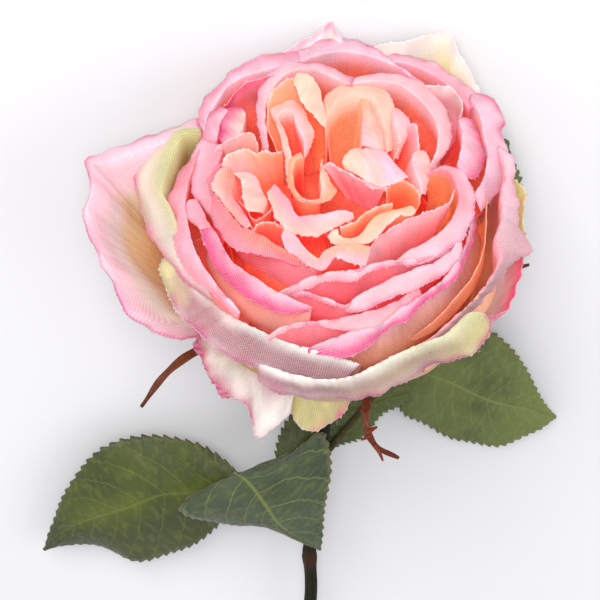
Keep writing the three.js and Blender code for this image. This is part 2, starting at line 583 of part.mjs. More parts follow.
// The middle grid of one petal: rails crossed by smooth ribs.
function petalGrid(rails, cols, steps) {
  const lines = rails.map((rail) => traced(rail, cols));
  for (let k = 1; k < lines.length; k++)
    for (let j = 0; j <= cols; j++) {
      const gap = lines[k][j].clone().sub(lines[k - 1][j]);
      if (gap.length() < 1) {
        const away = V(lines[k][j].x, lines[k][j].y, 0).normalize();
        away.z = -1.2;
        lines[k][j] = lines[k - 1][j].clone().addScaledVector(away.normalize(), 1);
      }
    }
  const grid = [];
  const ribs = [];
  for (let j = 0; j <= cols; j++)
    ribs.push(new THREE.CatmullRomCurve3(lines.map((l) => l[j]), false, "centripetal"));
  const spans = lines.length - 1;
  for (let k = 0; k < spans; k++)
    for (let i = 0; i < steps[k]; i++)
      grid.push(ribs.map((r) => r.getPoint((k + i / steps[k]) / spans)));
  grid.push(ribs.map((r) => r.getPoint(1)));
  return grid.map((row) => row.map(laid));
}

// How many columns a petal with this fold line gets, one for each step along it.
function columns(fold, step, least, most) {
  const length = new THREE.CatmullRomCurve3(fold, false, "centripetal").getLength();
  return Math.min(most, Math.max(least, Math.round(length / step)));
}

// A rail that leads from the base to a fold line: drawn in to a radius and height.
function leading(fold, radius, height, share, rest = 0) {
  const angles = fold.map((p) => Math.atan2(p.y, p.x));
  for (let i = 1; i < angles.length; i++) {
    while (angles[i] - angles[i - 1] > Math.PI) angles[i] -= 2 * Math.PI;
    while (angles[i] - angles[i - 1] < -Math.PI) angles[i] += 2 * Math.PI;
  }
  const middle = (angles[0] + angles[angles.length - 1]) / 2;
  const far = fold.reduce((s, p) => s + Math.hypot(p.x, p.y), 0) / fold.length;
  return fold.map((p, i) => {
    const turn = middle + (angles[i] - middle) * share;
    const own = Math.hypot(p.x, p.y) / far;
    const r = radius * (1 + rest * (own - 1));
    return V(r * Math.cos(turn), r * Math.sin(turn), height);
  });
}

function guard(p, rails) {
  const fold = rails[0];
  const all = [
    leading(fold, 6.2, 2.2, 0.45),
    leading(fold, p.low[0], p.low[1], 0.62, 0.2),
    leading(fold, p.belly[0], p.belly[1], 0.92, 0.5),
    ...rails,
  ];
  return petalGrid(all, columns(fold, 12, 4, 8), [1, 1, 2, 1]);
}

function pink(rails) {
  const fold = rails[0];
  const far = fold.reduce((s, p) => s + Math.hypot(p.x, p.y), 0) / fold.length;
  const high = fold.reduce((s, p) => s + p.z, 0) / fold.length;
  const all = [
    leading(fold, Math.min(32.6, far * 0.86), 27, 0.9, 0.3),
    leading(fold, far * 1.0, high * 0.78, 0.97, 0.7),
    ...rails,
  ];
  return petalGrid(all, columns(fold, 11, 3, 6), [1, 1, 1]);
}

function heart(p, rails) {
  const drop = p.drop ?? 12;
  const pinch = p.pinch ?? 0.86;
  const middle = rails[0]
    .reduce((s, q) => s.add(q), V(0, 0, 0))
    .multiplyScalar(1 / rails[0].length);
  const foot = rails[0].map((q) => {
    const r = q.clone().sub(middle).multiplyScalar(pinch).add(middle);
    const pull = Math.min(1, 21 / Math.hypot(r.x, r.y));
    return V(r.x * pull, r.y * pull, q.z - drop - 3);
  });
  return petalGrid([foot, ...rails], columns(rails[0], 5.5, 3, 7), [1, 1, 1]);
}

// Bloom nodes. fat is added to every sheet's thickness when a neighbour is cut clear.
function guardBody(fat) {
  const list = GUARDS.map((p) =>
    sheet(guard(p, p.rails.map((r) => points(r, seen))), PETAL_THICKNESS + fat, true, fat / 2),
  );
  for (const p of BACK_GUARDS) {
    const rim = p.rim.map(([a, r, h]) => polar(a, r, h));
    list.push(sheet(guard(p, [rim]), PETAL_THICKNESS + fat, true, fat / 2));
  }
  list.push(turned([[7.4 + fat / 2, 0.3 - fat / 2], [8.2 + fat / 2, 3.4 + fat / 2]], 12));
  return fused(list);
}

function pinkBody(fat) {
  const list = PINKS.map((p) =>
    sheet(pink(p.rails.map((r) => points(r, seen))), PETAL_THICKNESS + fat, false, fat / 2),
  );
  const out = BOWL.map(([r, h]) => [r + 0.8 + fat / 2, h]);
  out[0][1] -= 0.8 + fat / 2;
  out[out.length - 1][1] += fat / 2;
  const inside = BOWL.map(([r, h]) => [r - 0.8 - fat / 2, h + 1.4 + fat / 2]);
  inside.push([33, 60]);
  const bowl = turned(out, 12).subtract(turned(inside, 12));
  return fused([...list, bowl]);
}

function heartBody() {
  const list = HEARTS.map((p) =>
    sheet(heart(p, p.rails.map((r) => points(r, seen))), PETAL_THICKNESS),
  );
  const core = turned([[9.5, 6.3], [21, 10.5], [26.5, 18], [27, 30], [24, 38], [12, CORE_TOP]], 16);
  return fused([...list, core]);
}

// Leaves
// Left edge, midrib and right edge as triples right, down, height above the surface.
const LEAVES = {
  left: {
    left: [236, 484, 17, 221, 523, 14, 182, 549, 12, 137, 560, 10, 88, 543, 9,
      45, 549, 7],
    mid: [238, 480, 18, 189, 493, 18, 162, 495, 18.5, 130, 507, 17.5, 71, 527, 13,
      44, 550, 7],
    right: [240, 474, 17, 222, 458, 15, 190, 441, 14, 147, 436, 14, 104, 447, 14,
      68, 488, 12, 43, 551, 7],
    teeth: 13,
  },
  front: {
    left: [236, 496, 20, 200, 492, 24, 180, 509, 25, 215, 523, 27, 257, 525, 30,
      289, 534, 31, 319, 549, 29],
    mid: [238, 488, 22, 236, 474, 31, 248, 482, 36, 264, 504, 37, 280, 526, 35,
      320, 550, 29],
    right: [241, 492, 20, 262, 465, 30, 298, 449, 34, 322, 432, 35, 331, 464, 36,
      325, 504, 34, 321, 551, 29],
    teeth: 13,
  },
  middle: {
    left: [276, 474, 20, 276, 452, 16, 286, 422, 12, 310, 400, 10, 350, 385, 9,
      400, 378, 8, 439, 387, 8],
    mid: [285, 475, 20, 300, 450, 17, 330, 425, 14, 370, 404, 12, 410, 392, 10,
      440, 387, 8],
    right: [292, 478, 20, 331, 449, 15, 362, 437, 12, 385, 412, 10.5, 402, 404, 9,
      425, 396, 9, 440, 388, 8],
    teeth: 11,
  },
  right: {
    left: [404, 366, 9, 430, 335, 8, 470, 322, 8, 506, 343, 8, 526, 369, 8,
      542, 400, 7, 555, 416, 5],
    mid: [402, 367, 9.5, 415, 371, 11, 446, 381, 12, 490, 401, 11, 530, 410, 8,
      556, 417, 5],
    right: [400, 371, 9, 401, 409, 8, 422, 423, 7, 457, 439, 7, 498, 445, 7,
      534, 432, 6, 555, 418, 5],
    teeth: 13,
  },
  far: {
    left: [448, 330, 6.5, 440, 290, 4, 446, 240, 3.5, 465, 190, 3.5, 488, 158, 3.5,
      504, 140, 3.5],
    mid: [451, 328, 7, 462, 285, 5.5, 474, 240, 5, 488, 195, 4.5, 500, 160, 4,
      506, 139, 3.5],
    right: [454, 330, 6.5, 474, 300, 4, 490, 260, 3.5, 508, 215, 3.5, 521, 184, 3.5,
      512, 158, 3.5, 507, 143, 3.5],
    teeth: 12,
  },
};

function leaf(form) {
  const rows = form.teeth * 2;
  const [left, mid, right] = [form.left, form.mid, form.right].map((f) =>
    along(points(f, seenAt), rows),
  );
  // Which way each edge lies from the midrib; a narrow row takes it from its inner neighbour
  const middle = rows / 2;
  const outward = (edge) => {
    const out = edge.map((p, i) => p.clone().sub(mid[i]));
    const wide = out.map((o) => Math.max(o.length(), 1));
    const settle = (i, inner) => {
      if (out[i].length() < 2.2) out[i].copy(out[inner]);
    };
    for (let i = middle + 1; i <= rows; i++) settle(i, i - 1);
    for (let i = middle - 1; i >= 0; i--) settle(i, i + 1);
    return out.map((o, i) => [o.normalize(), wide[i]]);
  };
  const [toLeft, toRight] = [outward(left), outward(right)];
  const grid = mid.map((p, i) => {
    const t = i / rows;
    const open = Math.min(1, t * 8, (1 - t) * 8);
    const tooth = i % 2 ? 1.5 * open : 0;
    const edge = ([out, wide]) => p.clone().addScaledVector(out, wide + tooth);
    return [edge(toLeft[i]), p.clone(), edge(toRight[i])];
  });
  return sheet(grid, LEAF_THICKNESS);
}

// Stem
const STEM_LINE = [
  laid(V(0, 0, -13.2)),
  seenAt(329, 352, 27.5),
  seenAt(326, 400, 22.5),
  seenAt(322, 452, 19),
  seenAt(314, 505, 16.5),
  seenAt(309.5, 547, 15),
  seenAt(311, 590, 13),
  V(-9, -168, 8.6),
  V(-6, -205, 4.5),
  V(-3, -236, 2.3),
];

// fat is added to its radius when a neighbour is cut clear.
function stem(fat = 0) {
  const path = along(STEM_LINE, 22);
  const radii = path.map((p, i) => {
    const t = i / 22;
    const node = Math.exp(-(((p.y + 102) / 3.5) ** 2)) + Math.exp(-(((p.y + 58) / 3) ** 2));
    const plain = THREE.MathUtils.lerp(NECK_RADIUS, STEM_RADIUS, Math.min(1, t * 1.5));
    return plain + 0.5 * node + fat;
  });
  const parts = [rod(path, radii, 8)];
  // Small blunt thorns, each rooted inside the stem
  for (const [share, angle] of [[0.6, 2.6], [0.71, 0.5], [0.83, 3.6]]) {
    const p = path[Math.round(share * 22)];
    const away = V(Math.cos(angle), 0, Math.abs(Math.sin(angle)) * 0.8).normalize();
    const tip = p.clone().addScaledVector(away, STEM_RADIUS + 2.2).add(V(0, -1.4, 0));
    const root = p.clone().addScaledVector(away, STEM_RADIUS * 0.8);
    parts.push(rod([p, root, tip], [1.3 + fat, 1.2 + fat, 0.15 + fat], 5));
  }
  return fused(parts);
}

// Calyx: the hip and five long sepals
const SEPALS = [
  [[330, 318, -2], [262, 336, -1], [215, 345, 0], [190, 355, 0.5], [165, 375, -2], [141, 407, -6]],
  [[333, 322, -2], [352, 362, 0.5], [366, 398, 2], [366, 425, -1], [376, 446, -5], [399, 458, -8]],
  [[336, 316, -2], [400, 300, -2], [460, 285, -1.5], [505, 272, -1], [529, 264.5, -1]],
];

function calyx() {
  const parts = [
    turned([[2.2, -12.6], [4.2, -9.6], [5.3, -6.4], [5, -3.4], [6.2, -1.6], [6.6, -0.1]], 12),
  ];
  const strip = (list, wide) => {
    const mid = along(list, 8);
    const grid = mid.map((p, i) => {
      const t = i / 8;
      const ahead = mid[Math.min(i + 1, 8)].clone().sub(mid[Math.max(i - 1, 0)]);
      const across = ahead.cross(V(0, 0, 1)).normalize();
      const half = wide * (1 - t) ** 0.7 + 0.45;
      return [-1, 0, 1].map((s) => laid(p.clone().addScaledVector(across, s * half)));
    });
    return sheet(grid, 0.9);
  };
  for (const s of SEPALS) parts.push(strip(s.map(([a, b, h]) => seen(a, b, h)), 2.1));
  for (const turn of [-68, -128])
    parts.push(strip([polar(turn, 4, -2), polar(turn, 12, -2.5), polar(turn, 20, -6), polar(turn, 25, -12)], 2.1));
  // Side spurs of the middle sepal
  const spur = (a, b) => rod([laid(seen(...a)), laid(seen(...b))], [0.8, 0.35], 5);
  parts.push(spur([366, 412, 0.8], [358, 408, 0.8]), spur([370, 436, -2.8], [361, 440, -3]));
  parts.push(spur([374, 444, -4.6], [383, 461, -7]), spur([369, 431, -2], [377, 427, -2]));
  return fused(parts);
}

// Leafy sprays: stalks and their leaves
function spray(stalks, leaves) {
  const parts = stalks.map(({ path, from, to }) => {
    const line = along(points(path, seenAt), 6);
    return rod(line, line.map((p, i) => THREE.MathUtils.lerp(from, to, i / 6)), 6);
  });
  for (const l of leaves) parts.push(leaf(l));
  return fused(parts);
}

const leftSpray = () => spray(
  [
    { path: [310, 544, 15.2, 288, 530, 17.5, 262, 510, 18.5, 240, 486, 18.5], from: 1.1, to: 0.8 },
    { path: [247, 493, 18.5, 241, 489, 20.5, 237, 480, 27], from: 0.9, to: 0.7 },
    { path: [247, 494, 18.5, 234, 479, 18.2, 222, 480, 18], from: 0.8, to: 0.6 },
  ],
  [LEAVES.left, LEAVES.front],
);
const rightSpray = () => spray(
  [
    { path: [321, 460, 18.6, 305, 466, 18.6, 288, 468, 19], from: 1.1, to: 0.7 },
    { path: [321, 460, 18.4, 345, 430, 14.5, 375, 395, 11.5, 404, 367, 10], from: 1.1, to: 0.8 },
    { path: [396, 375, 10.5, 425, 350, 8.5, 453, 326, 7], from: 0.9, to: 0.7 },
  ],
  [LEAVES.middle, LEAVES.right, LEAVES.far],
);

// Corners of one body that meet at a point are drawn apart by a hair, each inwards.
function parted(positions, index) {
  const at = (i) => V(positions[3 * i], positions[3 * i + 1], positions[3 * i + 2]);
  const places = new Map();
  for (let i = 0; i < positions.length / 3; i++) {
    const key = at(i).toArray().map((v) => v.toFixed(4)).join();
    places.set(key, [...(places.get(key) ?? []), i]);
  }
  const shared = new Set([...places.values()].filter((l) => l.length > 1).flat());
  const outward = new Map([...shared].map((i) => [i, V(0, 0, 0)]));
  for (let t = 0; t < index.length; t += 3) {
    const three = [index[t], index[t + 1], index[t + 2]];
    if (!three.some((i) => shared.has(i))) continue;
    const [a, b, c] = three.map(at);
    const normal = b.sub(a).cross(c.sub(a)).normalize();
    for (const i of three) outward.get(i)?.add(normal);
  }
  for (const [i, normal] of outward) {
    normal.normalize().multiplyScalar(-0.03);
    positions[3 * i] += normal.x;
    positions[3 * i + 1] += normal.y;
    positions[3 * i + 2] += normal.z;
  }
}

// Assembly
const room = (body) => fused([body(0), body(CLEARANCE), body(2 * CLEARANCE)]);
const guards = whole(guardBody(0)).trimByPlane([0, 0, 1], 0.06);
const pinks = whole(pinkBody(0).subtract(room(guardBody)));
const heartRoom = fused([room(pinkBody), room(guardBody), pinks]);
const hearts = whole(heartBody().subtract(heartRoom)).subtract(pinks);
const bodies = {
  guard_petals: [guards, 0xeadfc4, 0.85],
  pink_petals: [pinks, 0xf4a0b2, 0.85],
  heart_petals: [hearts, 0xff9a66, 0.85],
  calyx: [whole(calyx()), 0x6e3a1e, 0.7],
  stem: [whole(stem()), 0x34321d, 0.6],
  left_leaf_spray: [whole(leftSpray().subtract(stem(CLEARANCE))), 0x44552a, 0.6],
  right_leaf_spray: [whole(rightSpray().subtract(stem(CLEARANCE))), 0x5f7030, 0.65],
};

const group = new THREE.Group();
group.name = "rose_stem";
const box = new THREE.Box3();
const meshes = Object.entries(bodies).map(([name, [body, color, roughness]]) => {
  const made = body.getMesh();
  const g = new THREE.BufferGeometry();
  const positions = new Float32Array((made.vertProperties.length / made.numProp) * 3);
  for (let i = 0; i < positions.length / 3; i++)
    for (let k = 0; k < 3; k++)
      positions[3 * i + k] = made.vertProperties[i * made.numProp + k];
  parted(positions, made.triVerts);
  g.setAttribute("position", new THREE.BufferAttribute(positions, 3));
  g.setIndex(new THREE.BufferAttribute(new Uint32Array(made.triVerts), 1));
  const mesh = new THREE.Mesh(
    g,
    new THREE.MeshStandardMaterial({ color, roughness, metalness: 0, side: THREE.DoubleSide }),
  );
  mesh.name = name;
  box.expandByObject(mesh);
  group.add(mesh);
  return mesh;
});
const shift = box.getCenter(V(0, 0, 0));
for (const mesh of meshes) mesh.geometry.translate(-shift.x, -shift.y, -box.min.z);

export default group;
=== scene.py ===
"""A single-bloom garden rose of woven cloth on a leafy cut stem, lying on a pale floor.

Petals, leaves and stem are closed numpy surfaces drawn from the same rails as the solids they
stand for. Lengths in the tables and classes are millimetres; meshes are made in metres.
"""

import logging
import math
from dataclasses import dataclass, replace
from enum import Enum

import bpy
import numpy as np
from mathutils import Matrix, Vector


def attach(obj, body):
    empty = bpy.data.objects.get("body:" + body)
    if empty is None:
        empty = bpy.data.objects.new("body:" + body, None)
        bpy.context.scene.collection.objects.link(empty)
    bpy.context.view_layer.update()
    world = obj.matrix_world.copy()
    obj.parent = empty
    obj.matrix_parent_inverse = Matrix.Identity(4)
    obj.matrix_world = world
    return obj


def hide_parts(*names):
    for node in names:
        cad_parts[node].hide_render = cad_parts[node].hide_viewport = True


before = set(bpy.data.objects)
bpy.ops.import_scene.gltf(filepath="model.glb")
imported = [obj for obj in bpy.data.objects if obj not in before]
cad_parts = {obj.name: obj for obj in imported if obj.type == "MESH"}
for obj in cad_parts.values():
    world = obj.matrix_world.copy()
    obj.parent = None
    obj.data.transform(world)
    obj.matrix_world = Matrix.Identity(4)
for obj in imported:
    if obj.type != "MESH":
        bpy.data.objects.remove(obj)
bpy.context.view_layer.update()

LOG = logging.getLogger("rose")
NOD = math.radians(27)
LOOK = math.radians(26)
CALYX_HEIGHT = 36.2
SIGHT_DISTANCE = 520.0
SIGHT_PLANE = 35.0
SIGHT_UNIT = 0.28
SIGHT_CENTRE = (-9.0, 3.0)
FULL_TURN = 6.3  # radians, the range of a random phase
MIDDLE = np.array([10.677, 78.827, 0.0])  # from the calyx's foot to the row frame's origin

TONES: dict[str, str] = {
    "lilac": "f5c8d6", "orchid": "f29ab4", "hot": "ee4590",
    "blush": "fac9cf", "pink": "fa9fb0", "rose": "fa8298", "salmon": "fc8a6c",
    "coral": "ff6440", "ember": "ff5022", "flame": "ff6a38", "orange": "ff8340",
    "apricot": "ffa868", "peach": "fdb68c", "shell": "fbcabc", "cream": "f4d6be",
    "butter": "e8d6a0", "lime": "c4be7c", "moss": "bcb854", "tan": "dca474",
    "ochre": "d69c4e", "sand": "e6caa4", "ivory": "f0e2dc", "mauve": "d8b0ba", "paper": "fff0ea",
    # The dimmed mauve in the next row is a painted shade, laid on lips that sit in shade.
    "pear": "dedc96", "painted_shade_mauve": "b48086", "plum": "b8246c",
}
GUARDS: dict[str, list[list[float]]] = {
    "left_big": [
        [199, 334, 14, 176, 335, 16, 134, 315, 21, 109, 269, 27, 90, 231, 33, 88, 207, 36,
         94, 185, 38.5, 91, 166, 41, 104, 163, 43.5, 147, 148, 46.5, 178, 137, 47.5,
         200, 130, 46],
        [199, 337, 13, 176, 338, 15, 132, 317, 20, 107, 270, 26, 88, 231, 32, 86, 207, 35,
         92, 185, 37.5, 88, 162, 39.5, 104, 154, 41, 147, 139, 43.5, 177, 128, 44.5,
         200, 120, 43],
    ],
    "left_rolled": [
        [202, 133, 47, 184, 134, 48.5, 172, 158, 48, 165, 177, 47, 162, 193, 46.5, 170, 208, 46,
         182, 241, 43, 198, 273, 40.5, 224, 303, 38.5, 238, 321, 38],
        [201, 127, 45, 177, 127, 44.5, 154, 143, 42.5, 142, 158, 41, 137, 177, 39.5,
         142, 200, 38.5, 151, 231, 37.5, 166, 254, 37, 191, 282, 36.5, 212, 299, 36.5,
         239, 323, 37],
    ],
    "front_left_folded": [
        [171, 256, 34.6, 182, 270, 34.6, 196, 286, 34.6, 209, 299, 35, 224, 311, 36.5,
         243, 323, 40, 266, 334, 42, 290, 344, 42.5, 319, 351, 42, 344, 359, 40, 361, 365, 38],
        [165, 257, 33.5, 163, 269, 32.5, 171, 292, 32.5, 183, 315, 33, 198, 328, 34.5,
         204, 334, 35, 214, 344, 34.5, 233, 356, 34.2, 258, 365, 34, 281, 372, 33.5,
         302, 378, 33, 319, 381, 33, 333, 381, 33.5, 346, 378, 34.4],
    ],
    "front_rolled": [
        [258, 364, 35, 290, 374, 36.5, 319, 380, 37, 351, 377, 38, 387, 360, 39, 414, 347, 40,
         448, 334, 41, 471, 313, 41, 486, 313, 40],
        [259, 376, 31, 273, 387, 29, 288, 392, 28, 310, 395, 27.5, 334, 393, 27, 353, 397, 27,
         376, 392, 28, 395, 382, 29, 414, 372, 30, 433, 361, 31, 450, 358, 32, 465, 353, 33,
         479, 343, 34, 487, 330, 35.5, 489, 317, 38],
    ],
    "right_tipped": [
        [497, 148, 46, 505, 165, 46.5, 503, 190, 46.5, 502, 220, 46, 497, 240, 45.5,
         500, 257, 44, 490, 280, 42.5, 472, 302, 41, 450, 322, 40, 420, 348, 38.5],
        [499, 146, 44, 511, 163, 44, 512, 183, 43.5, 514, 205, 43, 518, 230, 42.5,
         528, 251, 41.5, 512, 261, 40.5, 498, 277, 39.5, 477, 303, 38.5, 457, 323, 38,
         430, 352, 36],
    ],
    "right_low_pink": [
        [526, 232, 34, 523, 248, 32.5, 521, 262, 31, 521, 275, 29.5, 515, 293, 27.5,
         509, 309, 26, 498, 314, 26, 484, 314, 26.5, 466, 318, 27, 440, 340, 26],
    ],
    "right_back_green": [
        [482, 120, 38, 492, 140, 37, 503, 165, 35.5, 513, 179, 35, 520, 185, 35, 525, 196, 34.5,
         524, 212, 34, 523, 226, 33, 526, 238, 31],
    ],
    "top_pointed": [
        [236, 84, 42, 256, 68, 47, 279, 55, 50, 300, 42, 53, 319, 32, 54, 332, 23, 55,
         338, 33, 54, 345, 44, 52, 368, 62, 47],
    ],
    "top_right_cream": [
        [352, 66, 43, 374, 47, 49.5, 404, 42, 52, 433, 34, 53, 449, 32, 54, 455, 44, 53,
         458, 54, 52, 466, 64, 50, 473, 77, 49, 480, 95, 46, 488, 116, 42],
    ],
    "front_hanging_white": [
        [200, 330, 24, 197, 343, 22, 202, 359, 20, 210, 378, 17, 218, 387, 15, 231, 397, 13,
         246, 405, 11, 252, 420, 8, 259, 437, 4, 265, 436, 4, 271, 430, 5, 281, 421, 7,
         290, 406, 11, 294, 396, 13],
    ],
    "front_hanging_green": [
        [290, 398, 12, 292, 413, 8, 296, 421, 7, 304, 429, 5.5, 315, 431, 5, 323, 427, 5.5,
         331, 422, 6, 342, 415, 8, 347, 408, 10, 352, 397, 13],
    ],
}

PINKS: dict[str, list[list[float]]] = {
    "top_left_outer": [
        [204, 132, 47, 208, 115, 48, 216, 102, 49, 228, 86, 50, 240, 78, 51, 258, 72, 52,
         280, 66, 52.5, 300, 62, 52],
        [200, 128, 45, 202, 108, 46, 212, 95, 47, 222, 86, 48, 233, 73, 49, 256, 60, 50.5,
         279, 56, 51, 300, 54, 51],
    ],
    "top_outer": [
        [256, 69, 48, 282, 63, 50, 299, 62, 51.5, 314, 56, 52.5, 334, 52, 52.5, 347, 51.5, 52.5,
         362, 54, 52.5, 385, 61, 52.5, 404, 71, 52, 424, 88, 50],
        [255, 66, 47, 280, 56, 49.5, 301, 53, 50.5, 318, 44, 51, 341, 40, 51, 357, 43, 51,
         372, 49, 51, 382, 57, 51, 403, 69, 51, 424, 85, 49],
    ],
    "top_right_outer": [
        [384, 64, 49.5, 395, 62, 50, 408, 64, 50, 425, 70, 50.5, 444, 82, 50, 458, 94, 49,
         470, 110, 47.5],
        [384, 60, 48, 395, 56.5, 48.5, 405, 56.5, 48.5, 418, 60, 48.5, 433, 65.5, 48.5,
         448, 75, 48.5, 461, 84, 48, 471, 94, 46.5, 478, 106, 45],
    ],
    "right_outer": [
        [470, 98, 48, 478, 109, 48.5, 482, 122, 48.5, 484, 134, 48.5, 488, 150, 48,
         487, 166, 47.5, 482, 182, 47, 474, 196, 46],
        [468, 93, 46.5, 487, 99, 45.5, 498, 111, 44.5, 503, 125, 43.5, 499, 132, 43.5,
         502, 142, 42.5, 505, 158, 42.5, 504, 176, 42.5, 500, 188, 42, 487, 201, 42.5,
         478, 211, 43],
    ],
    "top_left_hot": [
        [219, 115, 46.5, 228, 101, 48.5, 236, 92, 50, 247, 84, 51.2, 257, 79, 52,
         268, 76.5, 52.3, 282, 76, 52],
    ],
    "left_lobe": [
        [224, 147, 48, 236, 140, 49, 243, 125, 50.5, 245, 112, 50],
        [223, 145, 46.5, 220, 131, 47, 222, 119, 47.5, 233, 110, 48, 243, 109, 48.5],
    ],
    "left_upper": [
        [212, 160, 47, 216, 140, 48, 220, 122, 48.5, 228, 110, 48.5],
        [201, 150, 45.5, 203, 131, 46, 208, 118, 46.5, 222, 108, 47.5],
    ],
    "ring_band": [
        [269, 152, 48, 266, 133, 49, 265, 117, 50, 266, 103, 51, 269, 94, 52, 276, 83, 53,
         284, 75, 53.5, 294, 70, 54, 315, 70, 54, 335, 78, 53.5, 352, 85, 53],
        [264, 151, 47, 260, 127, 48, 257.5, 112, 48.5, 259, 98, 49, 264, 84, 50, 272, 73, 51,
         288, 62, 52, 296, 65, 52.5, 310, 64.5, 52.5, 322, 66, 52.5, 335, 73, 52, 354, 80, 52],
    ],
    "right_lobed": [
        [418, 92, 50, 424, 87, 51, 434, 86, 51, 452, 89, 50, 462, 100, 49, 463, 108, 48,
         459, 118, 47],
    ],
    "right_cupped": [
        [352, 84, 53, 362, 82, 53.5, 376, 81, 53.5, 398, 84, 53.5, 414, 94, 53, 426, 106, 52.5,
         434, 118, 52, 439, 134, 51, 437, 150, 50, 428, 171, 49],
        [354, 80, 52, 362, 77.5, 52.5, 377, 75.5, 52, 399, 77, 51.5, 421, 85, 51, 431, 97, 50.5,
         441, 106, 49.5, 448, 121, 49, 449, 133, 48.5, 446, 148, 48, 438, 161, 47.5,
         432, 172, 47.5],
    ],
    "right_hot_flap": [
        [459, 119, 49.5, 462, 130, 50, 463, 141, 50, 460, 155, 49.5, 457, 167, 48.5],
        [462, 118, 48, 470, 122, 47.5, 477, 134, 46.5, 481, 151, 45.5, 479, 169, 45,
         470, 179, 45.5, 460, 175, 47],
    ],
    "left_outer": [
        [200, 150, 47, 194, 165, 47.5, 188, 182, 47.5, 185, 200, 47, 187, 222, 46.5,
         193, 245, 46, 204, 268, 45, 222, 292, 44, 240, 312, 43],
        [196, 153, 45.5, 183, 172, 45, 174, 193, 44, 170, 207, 43.5, 175, 220, 43,
         177, 238, 42.8, 183, 259, 42.8, 194, 276, 42.6, 212, 291, 42.6, 238, 316, 42.2],
    ],
    "left_column": [
        [224, 147, 49, 219, 160, 49.5, 215, 178, 49.5, 212, 195, 49, 217, 215, 48, 225, 232, 47],
        [205, 140, 46.5, 197, 152, 46, 194, 165, 46, 194, 182, 45.5, 196, 195, 45.5,
         203, 204, 45.5, 211, 213, 45.5, 219, 229, 45.5],
    ],
    "left_round_flap": [
        [196, 199, 47.5, 200, 206, 47.5, 208, 222, 47, 218, 240, 46.5, 230, 262, 46],
        [190, 200, 46.5, 187, 210, 45.5, 191, 219, 45, 202, 228, 45, 207, 241, 44.5,
         222, 263, 44],
    ],
    "left_hot_flap": [
        [212, 228, 47.5, 219, 240, 48, 226, 252, 48, 234, 264, 48, 246, 272, 48, 261, 282, 47.5,
         279, 293, 47, 296, 301, 46.5, 312, 307, 46],
        [203, 229, 46, 208, 241, 45.5, 214, 259, 44.5, 225, 275, 44, 241, 290, 43.5,
         260, 302, 43.5, 275, 309, 43.5, 292, 311, 44, 313, 310, 44.5],
    ],
    "inner_left": [
        [222, 163, 50, 213, 176, 50.5, 212, 190, 50.5, 218, 200, 50.5, 231, 215, 50.5,
         240, 226, 50.5, 253, 231, 50.5, 273, 243, 50, 292, 255, 49.5, 318, 268, 48.5],
        [214, 167, 49, 209, 180, 48.5, 210, 194, 48, 214, 206, 47.5, 219, 224, 47, 229, 240, 47,
         240, 249, 47, 258, 252, 47, 284, 259, 47, 316, 272, 47],
    ],
    "front_upper": [
        [278, 293, 47, 303, 281, 48, 328, 273, 48.5, 352, 270, 48.5, 376, 264, 48.5,
         392, 261, 48.5, 408, 260, 48.5, 424, 258, 47.4, 440, 251, 45.7, 453, 240, 45],
        [278, 295, 46, 304, 288, 46.5, 328, 280, 46.5, 357, 279, 46.5, 366, 272, 47.3,
         392, 265, 47.3, 408, 264, 47.2, 424, 262, 46.3, 441, 256, 45, 456, 244, 44.4],
    ],
    "front_second": [
        [284, 293, 45.5, 303, 292, 46, 318, 296, 46, 332, 301, 46, 345, 306, 46, 357, 297, 46.8,
         376, 287, 47, 395, 277, 47, 414, 270, 47, 433, 263, 46.5, 450, 252, 46, 461, 236, 45.5],
        [284, 296, 44.7, 303, 295, 45, 318, 299, 45, 332, 304, 44.8, 346, 310, 44.6,
         362, 308.5, 44.8, 376, 302, 45, 395, 293, 45, 412, 289, 44.8, 422, 283, 44.8,
         447, 269, 44.6, 460, 249, 44.5],
    ],
    "front_third": [
        [268, 336, 44, 282, 328, 44.7, 299, 323, 45, 314, 322, 45.5, 343, 318, 45.5,
         372, 311, 45.5, 388, 305, 45.5, 404, 298, 45.5, 420, 289, 45],
        [268, 339, 43.3, 282, 331, 43.8, 299, 326, 44, 318, 325, 44, 339, 328, 43.3,
         366, 330, 43, 377, 327, 43.2, 387, 321, 43.5, 402, 307, 44, 421, 294, 44],
    ],
    "front_lowest": [
        [308, 349, 42.5, 328, 341, 43.3, 347, 333, 44, 376, 327, 44.3, 388, 320, 44.5,
         402, 308, 44.8, 414, 300, 45, 433, 288, 45, 448, 275, 45, 460, 257, 44.5, 467, 240, 44,
         470, 226, 44, 471, 214, 44],
        [308, 352, 41.5, 331, 354, 41.3, 340, 355, 41.2, 355, 351, 41.5, 365, 346, 41.7,
         380, 334, 42.5, 391, 324, 43, 404, 320, 43, 418, 306, 43.5, 431, 295.5, 43.5,
         445, 286, 43.5, 454, 277, 43.3, 463, 262, 43, 470, 244, 42.8, 474, 229, 42.8,
         475, 215, 43],
    ],
    "right_orange_cup": [
        [426, 175, 50, 436, 170, 50.5, 448, 170, 50.5, 455, 180, 50, 459, 192, 49.5,
         459, 205, 49, 454, 216, 48.5, 445, 228, 48, 430, 240, 48, 412, 250, 48, 396, 261, 48],
        [438, 167, 49.5, 450, 168.5, 49, 460, 172, 48.5, 468, 186, 47.5, 472, 198, 47,
         471, 211, 46.5, 465, 226, 46, 460, 239, 45.8, 452, 243, 46, 440, 251, 46.3,
         424, 260, 46.3, 404, 266, 46.8],
    ],
    "right_inner": [
        [455, 190, 49.5, 449, 201, 50, 441, 208, 50, 423, 214, 50.5, 404, 222, 50.5,
         385, 232, 50.5, 374, 243, 50.5, 367, 256, 50, 360, 268, 49],
    ],
}

